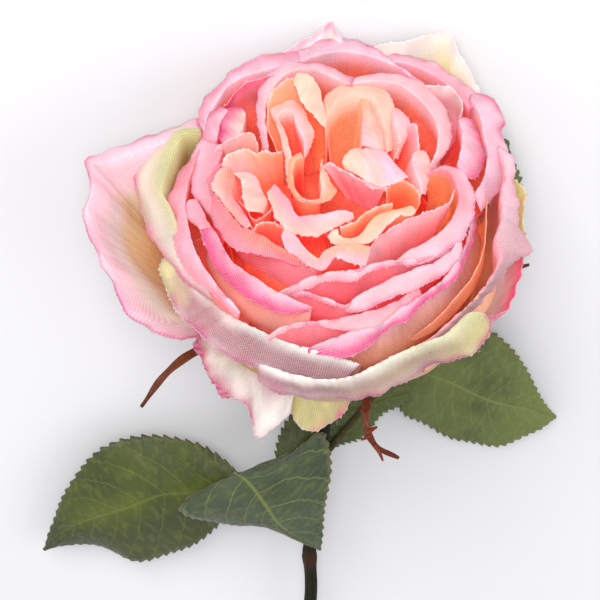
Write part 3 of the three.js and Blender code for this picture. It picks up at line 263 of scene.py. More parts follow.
HEARTS: dict[str, list[list[float]]] = {
    "left_ribbon": [
        [270, 190, 55, 274, 185, 55.5, 280, 190, 55.5, 288, 200, 55, 293, 210, 55,
         299, 217, 54.5, 311, 215, 54.5, 326, 214, 54.5, 340, 211, 54.5, 353, 213, 54],
        [268, 193, 54, 273, 200, 53.5, 276, 208, 53, 277, 215, 52.5, 284, 222, 52.5,
         289, 230, 52, 300, 232, 52, 319, 233, 52, 331, 227, 52, 343, 221, 52.5, 353, 217, 53],
    ],
    "front_ribbon": [
        [284, 230, 52, 293, 235, 52.5, 300, 242, 52.5, 306, 249, 52.5, 313, 256, 52,
         319, 259, 51.5, 324, 251, 52.5, 331, 248, 52.6, 343, 245, 53, 357, 245, 52.5,
         371, 247, 51.5],
        [282, 235, 51, 286, 243, 50, 291, 251, 49.5, 300, 258, 49.2, 312, 265, 49,
         322, 268, 48.5, 329, 263, 49, 334, 255, 50, 343, 257, 50, 352, 261, 49.5, 365, 263, 49],
    ],
    "right_loop_front": [
        [338, 229, 52.5, 338, 235, 52.5, 345, 238, 52.5, 358, 237, 52.5, 365, 229, 53,
         373, 220, 53, 382, 213, 53, 394, 210, 53, 412, 206, 52.5],
        [333, 228, 51.5, 329, 235, 51, 334, 241, 51, 347, 243.5, 51, 362, 242, 51, 370, 239, 51,
         378, 232, 51.3, 383, 226, 51.6, 392, 219, 51.8, 400, 214, 52, 409, 215, 51.3,
         415, 210, 51.5],
    ],
    "right_loop_back": [
        [340, 228, 53, 349, 224.5, 53.5, 361, 217, 53.5, 373, 210, 53.5, 382, 206, 53.5,
         393, 204, 53.5],
    ],
    "pink_triangle": [
        [323, 166, 53.5, 329, 163, 54, 340, 169, 54, 349, 173, 54.3, 357, 178, 54.5,
         372, 183, 54, 387, 186, 53.5],
        [324, 170, 53, 329, 167, 53, 340, 173, 53, 349, 177, 53.3, 357, 182, 53.3,
         372, 188, 52.8, 386, 191, 52.3],
    ],
    "cream_tongue": [
        [344, 157, 53.5, 351, 150, 54, 362, 149, 54, 376, 149, 54, 385, 152, 53.5],
        [342, 163, 55.5, 352, 161, 56.2, 368, 161, 56.5, 384, 163, 56, 397, 166, 54.5],
        [344, 171, 54, 353, 175, 54.5, 364, 181, 54.5, 377, 186.5, 54, 390, 184, 53.5,
         405, 177, 53.5],
    ],
    "top_arch": [
        [326, 120, 51, 330, 110, 52, 336, 102, 53, 345, 96, 53.5, 356, 94, 53.5, 366, 95, 53.5,
         375, 99, 53.5, 379, 110, 52.5, 384, 124, 51.5, 387, 140, 50, 388, 152, 49],
        [323, 106, 50, 327, 97, 50.5, 334, 91, 51, 342, 87, 51.5, 351, 85, 51.5, 367, 84.5, 51.5,
         377, 87, 51.5, 384, 93, 51, 390, 101, 50.5, 392.5, 110, 50, 393, 126, 49, 392, 140, 48,
         391, 152, 47.5],
    ],
    "arch_tongue": [
        [360, 98, 52.5, 363, 112, 52.5, 363, 128, 51.5, 362, 146, 49.5],
        [368, 100, 53, 369, 114, 53, 372, 130, 52, 378, 150, 50],
        [372, 101, 51, 374, 117, 51, 379, 130, 50, 385, 152, 48],
    ],
    "centre_cup": [
        [303, 157, 54, 296, 160, 54.5, 292, 170, 54.5, 293, 182, 54.5, 297, 193, 54,
         304, 199, 54, 313, 201, 54, 320, 198, 54, 322, 190, 54, 321, 178, 54, 321, 163, 54],
        [302, 154, 53, 293, 158, 53, 289, 168, 53, 289, 181, 53, 292, 191, 53, 300, 200.5, 53,
         312, 203.5, 53, 326, 201, 53, 334, 194, 53, 331, 186, 53, 328, 178, 53.3,
         324, 169, 53.5, 322, 160, 53.5],
    ],
    "left_saddle": [
        [222, 166, 50, 225, 158, 51, 232, 153, 51.5, 240, 150.5, 52, 248, 151, 52, 256, 154, 52,
         266, 151.5, 52, 274, 153, 51.5, 283, 151, 51],
    ],
    "left_tongue": [
        [248, 172, 50.5, 256, 178, 50.5, 261, 189, 50.5, 266, 201, 50, 263, 213, 49.5],
        [235, 173, 51.5, 243, 179, 52, 246, 188, 52, 246, 199, 51.5, 251, 211, 50.5],
    ],
    "left_flap": [
        [231, 169, 51.5, 234, 180, 52, 231, 191, 52, 233, 200, 51.5, 240, 207, 51,
         246, 217, 50.5, 250, 226, 50],
        [224, 168, 50.5, 217, 178, 50.5, 215.5, 187, 50.5, 223, 199, 50, 231, 210, 49.5,
         239, 220, 49, 248, 229, 49],
    ],
    "left_ridge": [
        [239, 202, 49, 248, 211, 48.5, 252, 218, 48, 257, 220, 48, 264, 217, 48, 269, 211, 48.5,
         275, 200, 49.5],
    ],
    "small_arch": [
        [253, 232, 49, 258, 225, 49.5, 265, 222.5, 50, 275, 223.5, 50, 284, 228, 50],
    ],
    "upper_loop": [
        [290, 176, 51, 291, 160, 52, 288.5, 146, 52.5, 285, 132, 53, 278, 120, 53.5,
         279, 113, 54, 290, 110, 54, 294, 114, 54, 296, 124, 54, 302, 134, 54, 305, 145, 53.5,
         304, 158, 53],
        [287, 176, 50, 286.5, 160, 51, 284, 146, 51.5, 280, 132, 52, 273, 118, 52.5,
         273, 111, 52.5, 284, 106, 52.5, 295, 104, 52.5, 304, 111, 52, 309, 122, 52,
         314, 136, 51.5, 310, 150, 51.5, 306, 159, 52],
    ],
    "top_flap": [
        [294, 78, 53, 297, 74, 54, 306, 74, 54.5, 314, 79, 54.5, 319, 88, 54, 322, 104, 53,
         326, 119, 52, 325, 128, 51],
        [294, 83, 55, 299, 93, 55.5, 304, 105, 55, 309, 113, 54.5, 316, 119, 53.5, 322, 126, 52],
    ],
    "apricot_cup": [
        [277, 152, 48, 273, 140, 49, 268.5, 128, 50, 267, 117, 51, 268, 103, 52, 271, 94, 52.5,
         277, 87, 53, 284, 81, 53.5, 292, 79, 53.5, 300, 80, 53],
    ],
    "right_facet": [
        [393, 112, 51, 396, 126, 50.5, 399, 138, 50, 399, 148, 49, 394, 158, 48],
        [395, 109, 50, 402, 115, 49.5, 407.5, 124, 49, 407, 134, 48.5, 404, 143, 48,
         400, 152, 47.5, 397, 160, 47],
    ],
    "right_strip": [
        [409, 126, 50, 413, 124, 50.5, 417, 126, 50.5, 418, 137, 50, 419, 152, 49, 416, 165, 48],
    ],
    "right_pale_flap": [
        [413, 154, 51, 413, 164, 51.5, 416, 174, 51.5, 420, 184, 51, 422, 194, 50],
        [416, 151, 50, 421, 152, 49.5, 427, 160, 49, 427, 172, 48.5, 425, 184, 48.5,
         424, 195, 48.5],
    ],
    "right_hollow": [
        [386, 190, 50, 394, 182, 51, 406, 182, 51, 414, 187, 50.5, 419, 194, 50, 420, 204, 49],
    ],
}

LEAVES: dict[str, list[list[float]]] = {
    "left": [
        [
            236, 484, 17, 221, 523, 14, 182, 549, 12, 137, 560, 10, 88, 543, 9, 45, 549, 7,
        ],
        [
            238, 480, 18, 189, 493, 18, 162, 495, 18.5, 130, 507, 17.5, 71, 527, 13, 44, 550, 7,
        ],
        [
            240, 474, 17, 222, 458, 15, 190, 441, 14, 147, 436, 14, 104, 447, 14, 68, 488, 12, 43,
            551, 7,
        ],
    ],
    "front": [
        [
            236, 496, 20, 200, 492, 24, 180, 509, 25, 215, 523, 27, 257, 525, 30, 289, 534, 31,
            319, 549, 29,
        ],
        [
            238, 488, 22, 236, 474, 31, 248, 482, 36, 264, 504, 37, 280, 526, 35, 320, 550, 29,
        ],
        [
            241, 492, 20, 262, 465, 30, 298, 449, 34, 322, 432, 35, 331, 464, 36, 325, 504, 34,
            321, 551, 29,
        ],
    ],
    "middle": [
        [
            276, 474, 20, 276, 452, 16, 286, 422, 12, 310, 400, 10, 350, 385, 9, 400, 378, 8, 439,
            387, 8,
        ],
        [
            285, 475, 20, 300, 450, 17, 330, 425, 14, 370, 404, 12, 410, 392, 10, 440, 387, 8,
        ],
        [
            292, 478, 20, 331, 449, 15, 362, 437, 12, 385, 412, 10.5, 402, 404, 9, 425, 396, 9,
            440, 388, 8,
        ],
    ],
    "right": [
        [
            404, 366, 9, 430, 335, 8, 470, 322, 8, 506, 343, 8, 526, 369, 8, 542, 400, 7, 555,
            416, 5,
        ],
        [
            402, 367, 9.5, 415, 371, 11, 446, 381, 12, 490, 401, 11, 530, 410, 8, 556, 417, 5,
        ],
        [
            400, 371, 9, 401, 409, 8, 422, 423, 7, 457, 439, 7, 498, 445, 7, 534, 432, 6, 555,
            418, 5,
        ],
    ],
    "far": [
        [
            448, 330, 6.5, 440, 290, 4, 446, 240, 3.5, 465, 190, 3.5, 488, 158, 3.5, 504, 140,
            3.5,
        ],
        [
            451, 328, 7, 462, 285, 5.5, 474, 240, 5, 488, 195, 4.5, 500, 160, 4, 506, 139, 3.5,
        ],
        [
            454, 330, 6.5, 474, 300, 4, 490, 260, 3.5, 508, 215, 3.5, 521, 184, 3.5, 512, 158,
            3.5, 507, 143, 3.5,
        ],
    ],
}
BACK_GUARDS: dict[str, tuple[np.ndarray, tuple[float, float], tuple[float, float]]] = {
    "back_left": (
        np.array([(-158, 50, 30), (-146, 54, 35), (-132, 55, 38), (-116, 54, 38), (-104, 52, 33)]),
        (24, 4), (50, 17),
    ),
    "back_middle": (
        np.array([(-114, 50, 28), (-102, 55, 34), (-88, 56, 36), (-74, 55, 34), (-62, 50, 28)]),
        (24, 3), (47, 14),
    ),
    "back_right": (
        np.array([(-70, 51, 30), (-58, 55, 35), (-46, 56, 37), (-32, 54, 36), (-20, 50, 30)]),
        (24, 4), (50, 17),
    ),
}
SEPALS: dict[str, list[float]] = {
    "left_sepal": [
        330, 318, -2, 262, 336, -1, 215, 345, 0, 190, 355, 0.5, 165, 375, -2, 141, 407, -6,
    ],
    "front_sepal": [
        333, 322, -2, 352, 362, 0.5, 366, 398, 2, 366, 425, -1, 376, 446, -5, 399, 458, -8,
    ],
    "right_sepal": [336, 316, -2, 400, 300, -2, 460, 285, -1.5, 505, 272, -1, 529, 264.5, -1],
}
SPURS: tuple[tuple[tuple[float, ...], tuple[float, ...]], ...] = (
    ((366, 412, 0.8), (358, 408, 0.8)), ((370, 436, -2.8), (361, 440, -3)),
    ((374, 444, -4.6), (383, 461, -7)), ((369, 431, -2), (377, 427, -2)),
)
STALKS: dict[str, tuple[str, list[tuple[list[float], float, float]]]] = {
    "left_stalks": ("left_leaf_spray", [
        ([310, 544, 15.2, 288, 530, 17.5, 262, 510, 18.5, 240, 486, 18.5], 1.1, 0.8),
        ([247, 493, 18.5, 241, 489, 20.5, 237, 480, 27], 0.9, 0.7),
        ([247, 494, 18.5, 234, 479, 18.2, 222, 480, 18], 0.8, 0.6),
    ]),
    "right_stalks": ("right_leaf_spray", [
        ([321, 460, 18.6, 305, 466, 18.6, 288, 468, 19], 1.1, 0.7),
        ([321, 460, 18.4, 345, 430, 14.5, 375, 395, 11.5, 404, 367, 10], 1.1, 0.8),
        ([396, 375, 10.5, 425, 350, 8.5, 453, 326, 7], 0.9, 0.7),
    ]),
}
FEET: dict[str, dict[str, object]] = {
    "left_big": {"low": (26, 6), "belly": (44, 13)},
    "left_rolled": {"low": (24, 7), "belly": (42, 22)},
    "front_left_folded": {"low": (26, 8), "belly": (45, 24)},
    "front_rolled": {"low": (28, 7), "belly": (44, 18), "flare": 1.0},
    "right_tipped": {"low": (28, 8), "belly": (47, 24)},
    "right_low_pink": {"low": (26, 4), "belly": (44, 12)},
    "right_back_green": {"low": (26, 5), "belly": (46, 14)},
    "top_pointed": {"low": (26, 5), "belly": (49, 18)},
    "top_right_cream": {"low": (26, 5), "belly": (48, 20)},
    "front_hanging_white": {
        "low": (20, 9), "belly": (36, 17), "crumple": 0.75, "torn": 1.2, "pale": 0.0,
    },
    "front_hanging_green": {"low": (20, 9), "belly": (36, 16), "crumple": 0.3},
    "front_lowest": {"bulge": 3.5, "flare": 2.0},
    "left_small_flap": {"bulge": -1.0},
    "right_wall": {"bulge": -0.5, "pale": 0.1, "wave": 0.1, "crease": 0.02},
    "front_third": {"bulge": 1.5},
    "left_hot_flap": {"bulge": 2.6},
    "pink_triangle": {"drop": 13.0, "pinch": 0.3, "lean": 3.5},
    "arch_tongue": {"drop": 11.0},
    "left_saddle": {"drop": 13.0},
    "left_tongue": {"drop": 10.0},
    "left_flap": {"drop": 11.0},
    "left_ridge": {"drop": 9.0},
    "small_arch": {"drop": 9.0},
    "apricot_cup": {"drop": 13.0},
    "right_hollow": {"drop": 11.0},
}
INNER_WALLS: dict[str, list[list[float]]] = {
    "left_small_flap": [
        [214, 155, 48.5, 217, 148, 49.8, 224, 143, 51, 233, 138, 51.8, 243, 134.5, 52,
         252, 135, 51.8, 257, 142, 51, 258, 151, 50],
    ],
    "right_wall": [
        [488, 194, 44.5, 487, 208, 44.8, 486, 225, 44.8, 485, 243, 44, 476, 270, 42.5,
         455, 299, 40.5, 432, 323, 38, 410, 340, 34],
    ],
}


class Family(Enum):
    """Which group of petals one belongs to."""

    GUARD = "guard"
    PINK = "pink"
    HEART = "heart"


def tone(name: str) -> np.ndarray:
    """Linear colour of a tone's name or code: each channel over 255, the sRGB curve undone."""
    code = TONES.get(name, name)
    c = np.array([int(code[i : i + 2], 16) for i in (0, 2, 4)]) / 255
    return np.where(c <= 0.04045, c / 12.92, ((c + 0.055) / 1.055) ** 2.4)


def ramp(low: float, high: float, x: np.ndarray) -> np.ndarray:
    """Smooth step from 0 at low to 1 at high: 3t^2 - 2t^3 of the clipped share t."""
    t = np.clip((x - low) / (high - low), 0, 1)
    return t * t * (3 - 2 * t)


def unit(rows: np.ndarray) -> np.ndarray:
    """Rows of vectors, each brought to length one."""
    return rows / np.linalg.norm(rows, axis=1, keepdims=True)


def seeded(name: str) -> np.random.Generator:
    """A random source of its own for each named piece, seeded by its letters."""
    return np.random.default_rng(sum((k + 3) * ord(c) for k, c in enumerate(name)) + 41)


def triples(flat: list[float]) -> np.ndarray:
    """A flat list as rows of three."""
    return np.array(flat, float).reshape(-1, 3)


def seen(p: np.ndarray) -> np.ndarray:
    """Bloom-frame points of rows (right, down, height along the bloom's axis).

    The sight line through a pixel is cut at that height, in perspective.
    """
    across, up, h = (p[:, 0] - 300) * SIGHT_UNIT, (300 - p[:, 1]) * SIGHT_UNIT, p[:, 2]
    s, c = math.sin(NOD + LOOK), math.cos(NOD + LOOK)
    near = up * (s * h - SIGHT_PLANE) / SIGHT_DISTANCE
    front = (c * h - SIGHT_CENTRE[1] - up + near) / (s - up * c / SIGHT_DISTANCE)
    depth = s * h + c * front - SIGHT_PLANE
    return np.stack([SIGHT_CENTRE[0] + across * (1 - depth / SIGHT_DISTANCE), front, h], 1)


def seen_at(p: np.ndarray) -> np.ndarray:
    """Lying-frame points of rows (right, down, height above the floor), in perspective."""
    across, up = (p[:, 0] - 300) * SIGHT_UNIT, (300 - p[:, 1]) * SIGHT_UNIT
    s, c, rise = math.sin(LOOK), math.cos(LOOK), p[:, 2] - CALYX_HEIGHT
    lean = up * (c * rise - SIGHT_PLANE) / SIGHT_DISTANCE
    y = (SIGHT_CENTRE[1] + up + s * rise - lean) / (c + up * s / SIGHT_DISTANCE)
    depth = s * y + c * rise - SIGHT_PLANE
    return np.stack([SIGHT_CENTRE[0] + across * (1 - depth / SIGHT_DISTANCE), y, p[:, 2]], 1)


def laid(p: np.ndarray) -> np.ndarray:
    """From the bloom's frame to the lying frame: turned down by the nod, raised to the calyx."""
    x, y, z = p[..., 0], p[..., 1], p[..., 2]
    c, s = math.cos(NOD), math.sin(NOD)
    return np.stack([x, z * c - y * s, y * c + z * s + CALYX_HEIGHT], -1)


def smooth_path(points: np.ndarray, at: np.ndarray) -> np.ndarray:
    """A centripetal Catmull-Rom curve through points, at shares that are even per span.

    Args:
        points: (n, ...) points; extra axes are curves side by side.
        at: shares from 0 to 1.
    Returns:
        (len(at), ...) points; each span is the cubic that meets its ends' tangents.
    """
    n = len(points)
    ends = [2 * points[:1] - points[1:2], points, 2 * points[-1:] - points[-2:-1]]
    e = np.concatenate(ends).astype(float)
    dt = (np.diff(e, axis=0) ** 2).sum(-1, keepdims=True) ** 0.25
    k = np.clip((at * (n - 1)).astype(int), 0, n - 2)
    w = (at * (n - 1) - k).reshape(-1, *[1] * (points.ndim - 1))
    d1 = np.where(dt[k + 1] < 1e-4, 1.0, dt[k + 1])
    d0 = np.where(dt[k] < 1e-4, d1, dt[k])
    d2 = np.where(dt[k + 2] < 1e-4, d1, dt[k + 2])
    a, b, c, d = e[k], e[k + 1], e[k + 2], e[k + 3]
    t1 = ((b - a) / d0 - (c - a) / (d0 + d1) + (c - b) / d1) * d1
    t2 = ((c - b) / d1 - (d - b) / (d1 + d2) + (d - c) / d2) * d1
    return b + t1 * w + (-3 * b + 3 * c - 2 * t1 - t2) * w**2 + (2 * b - 2 * c + t1 + t2) * w**3


def spaced(points: np.ndarray, count: int) -> np.ndarray:
    """count + 1 points at even lengths along the smooth curve, its own points kept as corners."""
    at = np.linspace(0, 1, 60 * len(points))
    dense = smooth_path(points, at)
    run = np.r_[0, np.cumsum(np.linalg.norm(np.diff(dense, axis=0), axis=1))]
    share = np.interp(np.linspace(0, run[-1], count + 1), run, at)
    own = np.arange(len(points)) / (len(points) - 1)
    share[np.abs(share[:, None] - own).argmin(0)] = own
    return smooth_path(points, share)


def arc(grid: np.ndarray, axis: int) -> np.ndarray:
    """Length run along one axis of a grid of points, from its first row or column."""
    step = np.linalg.norm(np.diff(grid, axis=axis), axis=-1)
    pad = [(0, 0), (0, 0)]
    pad[axis] = (1, 0)
    return np.cumsum(np.pad(step, pad), axis=axis)


def normals(grid: np.ndarray) -> np.ndarray:
    """Unit normals of a grid: the cross product of its two central differences."""
    n = np.cross(np.gradient(grid, axis=0), np.gradient(grid, axis=1))
    return n / np.maximum(np.linalg.norm(n, axis=-1, keepdims=True), 1e-9)


@dataclass
class Shell:
    """Closed surfaces gathered as arrays, in lying-frame millimetres; sharp faces are flat."""

    places: np.ndarray
    quads: np.ndarray
    tints: np.ndarray
    cloth: np.ndarray
    sharp: np.ndarray

    @staticmethod
    def sheet(
        grid: np.ndarray, thick: np.ndarray, front: np.ndarray, back: np.ndarray, uv: np.ndarray,
        out: np.ndarray | None = None,
    ) -> "Shell":
        """A sheet about a grid: two faces half the thickness off it, joined round the border.

        Args:
            grid: (rows, cols, 3) middle points.
            thick: (rows, cols) thickness.
            front, back: (rows, cols, 3) colours of the two faces.
            uv: (rows, cols, 2) cloth coordinates in millimetres.
            out: (rows, cols, 3) directions of the front face, else the grid's own normals.
        Returns:
            The closed shell with faces outwards.
        """
        rows, cols = grid.shape[:2]
        push = (normals(grid) if out is None else out) * thick[..., None] / 2
        places = np.concatenate([(grid + push).reshape(-1, 3), (grid - push).reshape(-1, 3)])
        i = np.arange(rows * cols).reshape(rows, cols)
        j = i + rows * cols
        a, b, c, d = i[:-1, :-1], i[:-1, 1:], i[1:, 1:], i[1:, :-1]
        top = np.stack([a, b, c, d], -1).reshape(-1, 4)
        low = np.stack([a, d, c, b], -1).reshape(-1, 4) + rows * cols
        ring = np.concatenate([i[0, :-1], i[:-1, -1], i[-1, :0:-1], i[:0:-1, 0]])
        under = np.concatenate([j[0, :-1], j[:-1, -1], j[-1, :0:-1], j[:0:-1, 0]])
        side = np.stack([np.roll(ring, -1), ring, under, np.roll(under, -1)], -1)
        quads = np.concatenate([top, low, side])
        tints = np.concatenate([front.reshape(-1, 3), back.reshape(-1, 3)])
        cloth = np.concatenate([uv.reshape(-1, 2), uv.reshape(-1, 2) + 0.37])
        return Shell(places, quads, tints, cloth, np.arange(len(quads)) >= 2 * len(top)).outward()

    @staticmethod
    def rod(path: np.ndarray, radii: np.ndarray, sides: int, tint: np.ndarray) -> "Shell":
        """A closed rod: rings about a path, carried along it without twist, capped flat.

        Args:
            path: (n, 3) points. radii: (n,) or (n, sides) radii.
            sides: corners in a ring. tint: (3,), (n, 3) or (n, sides, 3) colours.
        """
        ahead = np.gradient(path, axis=0)
        ahead = unit(ahead)
        first = np.array([0.0, 0, 1]) if abs(ahead[0, 2]) < 0.9 else np.array([1.0, 0, 0])
        side = first - ahead * (ahead @ first)[:, None]
        side = unit(side)
        other = np.cross(ahead, side)
        turn = np.arange(sides) * 2 * np.pi / sides
        radii = np.broadcast_to(np.reshape(radii, (len(path), -1)), (len(path), sides))
        c, d = np.cos(turn)[None, :, None], np.sin(turn)[None, :, None]
        ring = c * side[:, None] + d * other[:, None]
        grid = path[:, None] + ring * radii[..., None]
        tints = np.asarray(tint, float)
        tints = tints[:, None] if tints.ndim == 2 else tints
        tints = np.broadcast_to(tints, grid.shape)
        n = len(path)
        i = np.arange(n * sides).reshape(n, sides)
        r = np.roll(i, -1, axis=1)
        wall = np.stack([i[:-1], r[:-1], r[1:], i[1:]], -1).reshape(-1, 4)
        foot, tip = n * sides, n * sides + 1
        caps = [
            np.stack([np.full(sides, foot), r[0], i[0], i[0]], -1),
            np.stack([np.full(sides, tip), i[-1], r[-1], r[-1]], -1),
        ]
        places = np.concatenate([grid.reshape(-1, 3), path[:1], path[-1:]])
        colours = np.concatenate([tints.reshape(-1, 3), tints[0, :1], tints[-1, :1]])
        run = arc(grid, 0)
        uv = np.stack([np.broadcast_to(turn * radii.mean(), run.shape), run], -1).reshape(-1, 2)
        cloth = np.concatenate([uv, uv[:1], uv[-1:]])
        quads = np.concatenate([wall, *caps])
        return Shell(places, quads, colours, cloth, np.arange(len(quads)) >= len(wall)).outward()

    def outward(self) -> "Shell":
        """The shell with its faces turned out, found from the sign of its volume."""
        q = self.quads
        a, b, c, d = (self.places[q[:, k]] for k in range(4))
        volume = (a * np.cross(b, c)).sum() + (a * np.cross(c, d)).sum()
        if volume < 0:
            self.quads = q[:, ::-1].copy()
            flat = self.quads[:, 0] == self.quads[:, 1]
            self.quads[flat] = np.roll(self.quads[flat], -2, axis=1)
        return self

    @staticmethod
    def joined(shells: list["Shell"]) -> "Shell":
        """Several shells as one, their corner numbers shifted along."""
        base = np.cumsum([0] + [len(s.places) for s in shells[:-1]])
        return Shell(
            np.concatenate([s.places for s in shells]),
            np.concatenate([s.quads + b for s, b in zip(shells, base)]),
            np.concatenate([s.tints for s in shells]),
            np.concatenate([s.cloth for s in shells]),
            np.concatenate([s.sharp for s in shells]),
        )

    def piece(
        self, name: str, finish: bpy.types.Material, slot: str, *nodes: str
    ) -> bpy.types.Object:
        """Puts the shell into a mesh in the row frame's metres and dresses it.

        Args:
            name: the piece's name. finish: its material.
            slot: not used. nodes: the solids it stands for.
        Returns:
            The finished object, riding on the one body.
        """
        place = (self.places + MIDDLE) / 1000
        tri = self.quads[:, 3] == self.quads[:, 2]
        loops = np.concatenate([self.quads[~tri].ravel(), self.quads[tri, :3].ravel()])
        count = np.r_[np.full((~tri).sum(), 4), np.full(tri.sum(), 3)]
        mesh = bpy.data.meshes.new(name)
        mesh.vertices.add(len(place))
        mesh.vertices.foreach_set("co", place.astype(np.float32).ravel())
        mesh.loops.add(len(loops))
        mesh.loops.foreach_set("vertex_index", loops.astype(np.int32))
        mesh.polygons.add(len(count))
        mesh.polygons.foreach_set("loop_start", (np.cumsum(count) - count).astype(np.int32))
        mesh.update(calc_edges=True)
        smooth = ~np.concatenate([self.sharp[~tri], self.sharp[tri]])
        mesh.polygons.foreach_set("use_smooth", smooth)
        layer = mesh.uv_layers.new(name="cloth")
        layer.data.foreach_set("uv", self.cloth[loops].astype(np.float32).ravel())
        tint = mesh.color_attributes.new(name="tint", type="FLOAT_COLOR", domain="POINT")
        rgba = np.c_[np.clip(self.tints, 0, 1), np.ones(len(place))]
        tint.data.foreach_set("color", rgba.astype(np.float32).ravel())
        mesh.materials.append(finish)
        made = bpy.data.objects.new(name, mesh)
        bpy.context.scene.collection.objects.link(made)
        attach(made, "root")
        if nodes:
            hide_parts(*nodes)
        LOG.info("%s: %d faces", name, len(count))
        return made


def node_tree(name: str, inputs: dict[str, str], outputs: dict[str, str]) -> bpy.types.NodeTree:
    """An empty shader group with named sockets; types are Color, Vector or Float."""
    tree = bpy.data.node_groups.new(name, "ShaderNodeTree")
    for label, kind in inputs.items():
        tree.interface.new_socket(label, in_out="INPUT", socket_type=f"NodeSocket{kind}")
    for label, kind in outputs.items():
        tree.interface.new_socket(label, in_out="OUTPUT", socket_type=f"NodeSocket{kind}")
    return tree


class Board:
    """Adds nodes to a tree and links them, with short calls for maths and mixes."""

    def __init__(self, tree: bpy.types.NodeTree) -> None:
        """Takes the tree to work in."""
        self.tree = tree

    def add(self, kind: str, **settings: object) -> bpy.types.Node:
        """A new node of a kind, with its settings."""
        node = self.tree.nodes.new(kind)
        for key, value in settings.items():
            setattr(node, key, value)
        return node

    def put(self, socket: bpy.types.NodeSocket, value: object) -> None:
        """Links a socket or sets a plain value."""
        if isinstance(value, bpy.types.NodeSocket):
            self.tree.links.new(value, socket)
        else:
            socket.default_value = value

    def math(self, operation: str, a: object, b: object = 0.5, c: object = 0.0) -> object:
        """The result of one Math node."""
        node = self.add("ShaderNodeMath", operation=operation)
        for socket, value in zip(node.inputs, (a, b, c)):
            self.put(socket, value)
        return node.outputs[0]

    def blend(self, share: object, a: object, b: object, kind: str = "MIX") -> object:
        """The colour of one Mix node."""
        node = self.add("ShaderNodeMix", data_type="RGBA", blend_type=kind)
        self.put(node.inputs[0], share)
        self.put(node.inputs[6], a)
        self.put(node.inputs[7], b)
        return node.outputs[2]

    def step(
        self, value: object, low: float, high: float, a: float = 0.0, b: float = 1.0
    ) -> object:
        """A smooth step of a value from low to high, put out between a and b."""
        node = self.add("ShaderNodeMapRange", interpolation_type="SMOOTHSTEP")
        for socket, v in zip(node.inputs, (value, low, high, a, b)):
            self.put(socket, v)
        return node.outputs[0]

    def noise(self, vector: object, scale: float, detail: float = 3.0) -> object:
        """The value of one Noise Texture."""
        node = self.add("ShaderNodeTexNoise")
        self.put(node.inputs["Vector"], vector)
        node.inputs["Scale"].default_value = scale
        node.inputs["Detail"].default_value = detail
        return node.outputs[0]

    def stretch(self, vector: object, scale: tuple[float, float, float]) -> object:
        """A vector through a Mapping node's scale."""
        node = self.add("ShaderNodeMapping")
        self.put(node.inputs["Vector"], vector)
        node.inputs["Scale"].default_value = scale
        return node.outputs[0]


def weave_group() -> bpy.types.NodeTree:
    """Plain weave: height is half plus half the product of two sines, one along each thread.

    Returns:
        A group that darkens its colour between threads, a painted shade in the dips,
        and along uneven threads, and paints a highlight on the thread tops.
    """
    tree = node_tree(
        "plain_weave",
        {"Colour": "Color", "Cloth": "Vector", "Pitch": "Float", "Contrast": "Float"},
        {"Colour": "Color", "Height": "Float"},
    )
    b = Board(tree)
    given = b.add("NodeGroupInput").outputs
    apart = b.add("ShaderNodeSeparateXYZ")
    b.put(apart.inputs[0], given["Cloth"])
    rate = b.math("DIVIDE", math.pi, given["Pitch"])
    warp = b.math("SINE", b.math("MULTIPLY", apart.outputs[0], rate))
    weft = b.math("SINE", b.math("MULTIPLY", apart.outputs[1], rate))
    over = b.math("MULTIPLY_ADD", b.math("MULTIPLY", warp, weft), 0.5, 0.5)
    slub = b.noise(b.stretch(given["Cloth"], (0.25, 3.2, 1)), 1.0, 2.0)
    rib = b.noise(b.stretch(given["Cloth"], (3.2, 0.25, 1)), 1.0, 2.0)
    uneven = b.math("ADD", slub, rib)
    # Painted shade: the colour darkens by Contrast in the dips between threads; uneven threads add
    # a tone of their own.
    shade = b.math("MULTIPLY_ADD", over, 0.6, b.math("MULTIPLY", uneven, 0.42))
    dark = b.math("MULTIPLY", given["Contrast"], b.math("SUBTRACT", 1.0, shade))
    lit = b.math("SUBTRACT", 1.0, dark)
    grey = b.add("ShaderNodeCombineColor")
    for socket in grey.inputs:
        b.put(socket, lit)
    out = b.add("NodeGroupOutput").inputs
    # Painted highlight: the thread tops are blended towards a pale pink.
    share = b.math("MULTIPLY", b.step(shade, 0.5, 0.95), 0.24)
    painted_thread_highlight = b.blend(share, given["Colour"], (1, 0.9, 0.9, 1))
    b.put(out["Colour"], b.blend(1.0, painted_thread_highlight, grey.outputs[0], "MULTIPLY"))
    b.put(out["Height"], b.math("MULTIPLY_ADD", uneven, 0.35, over))
    return tree


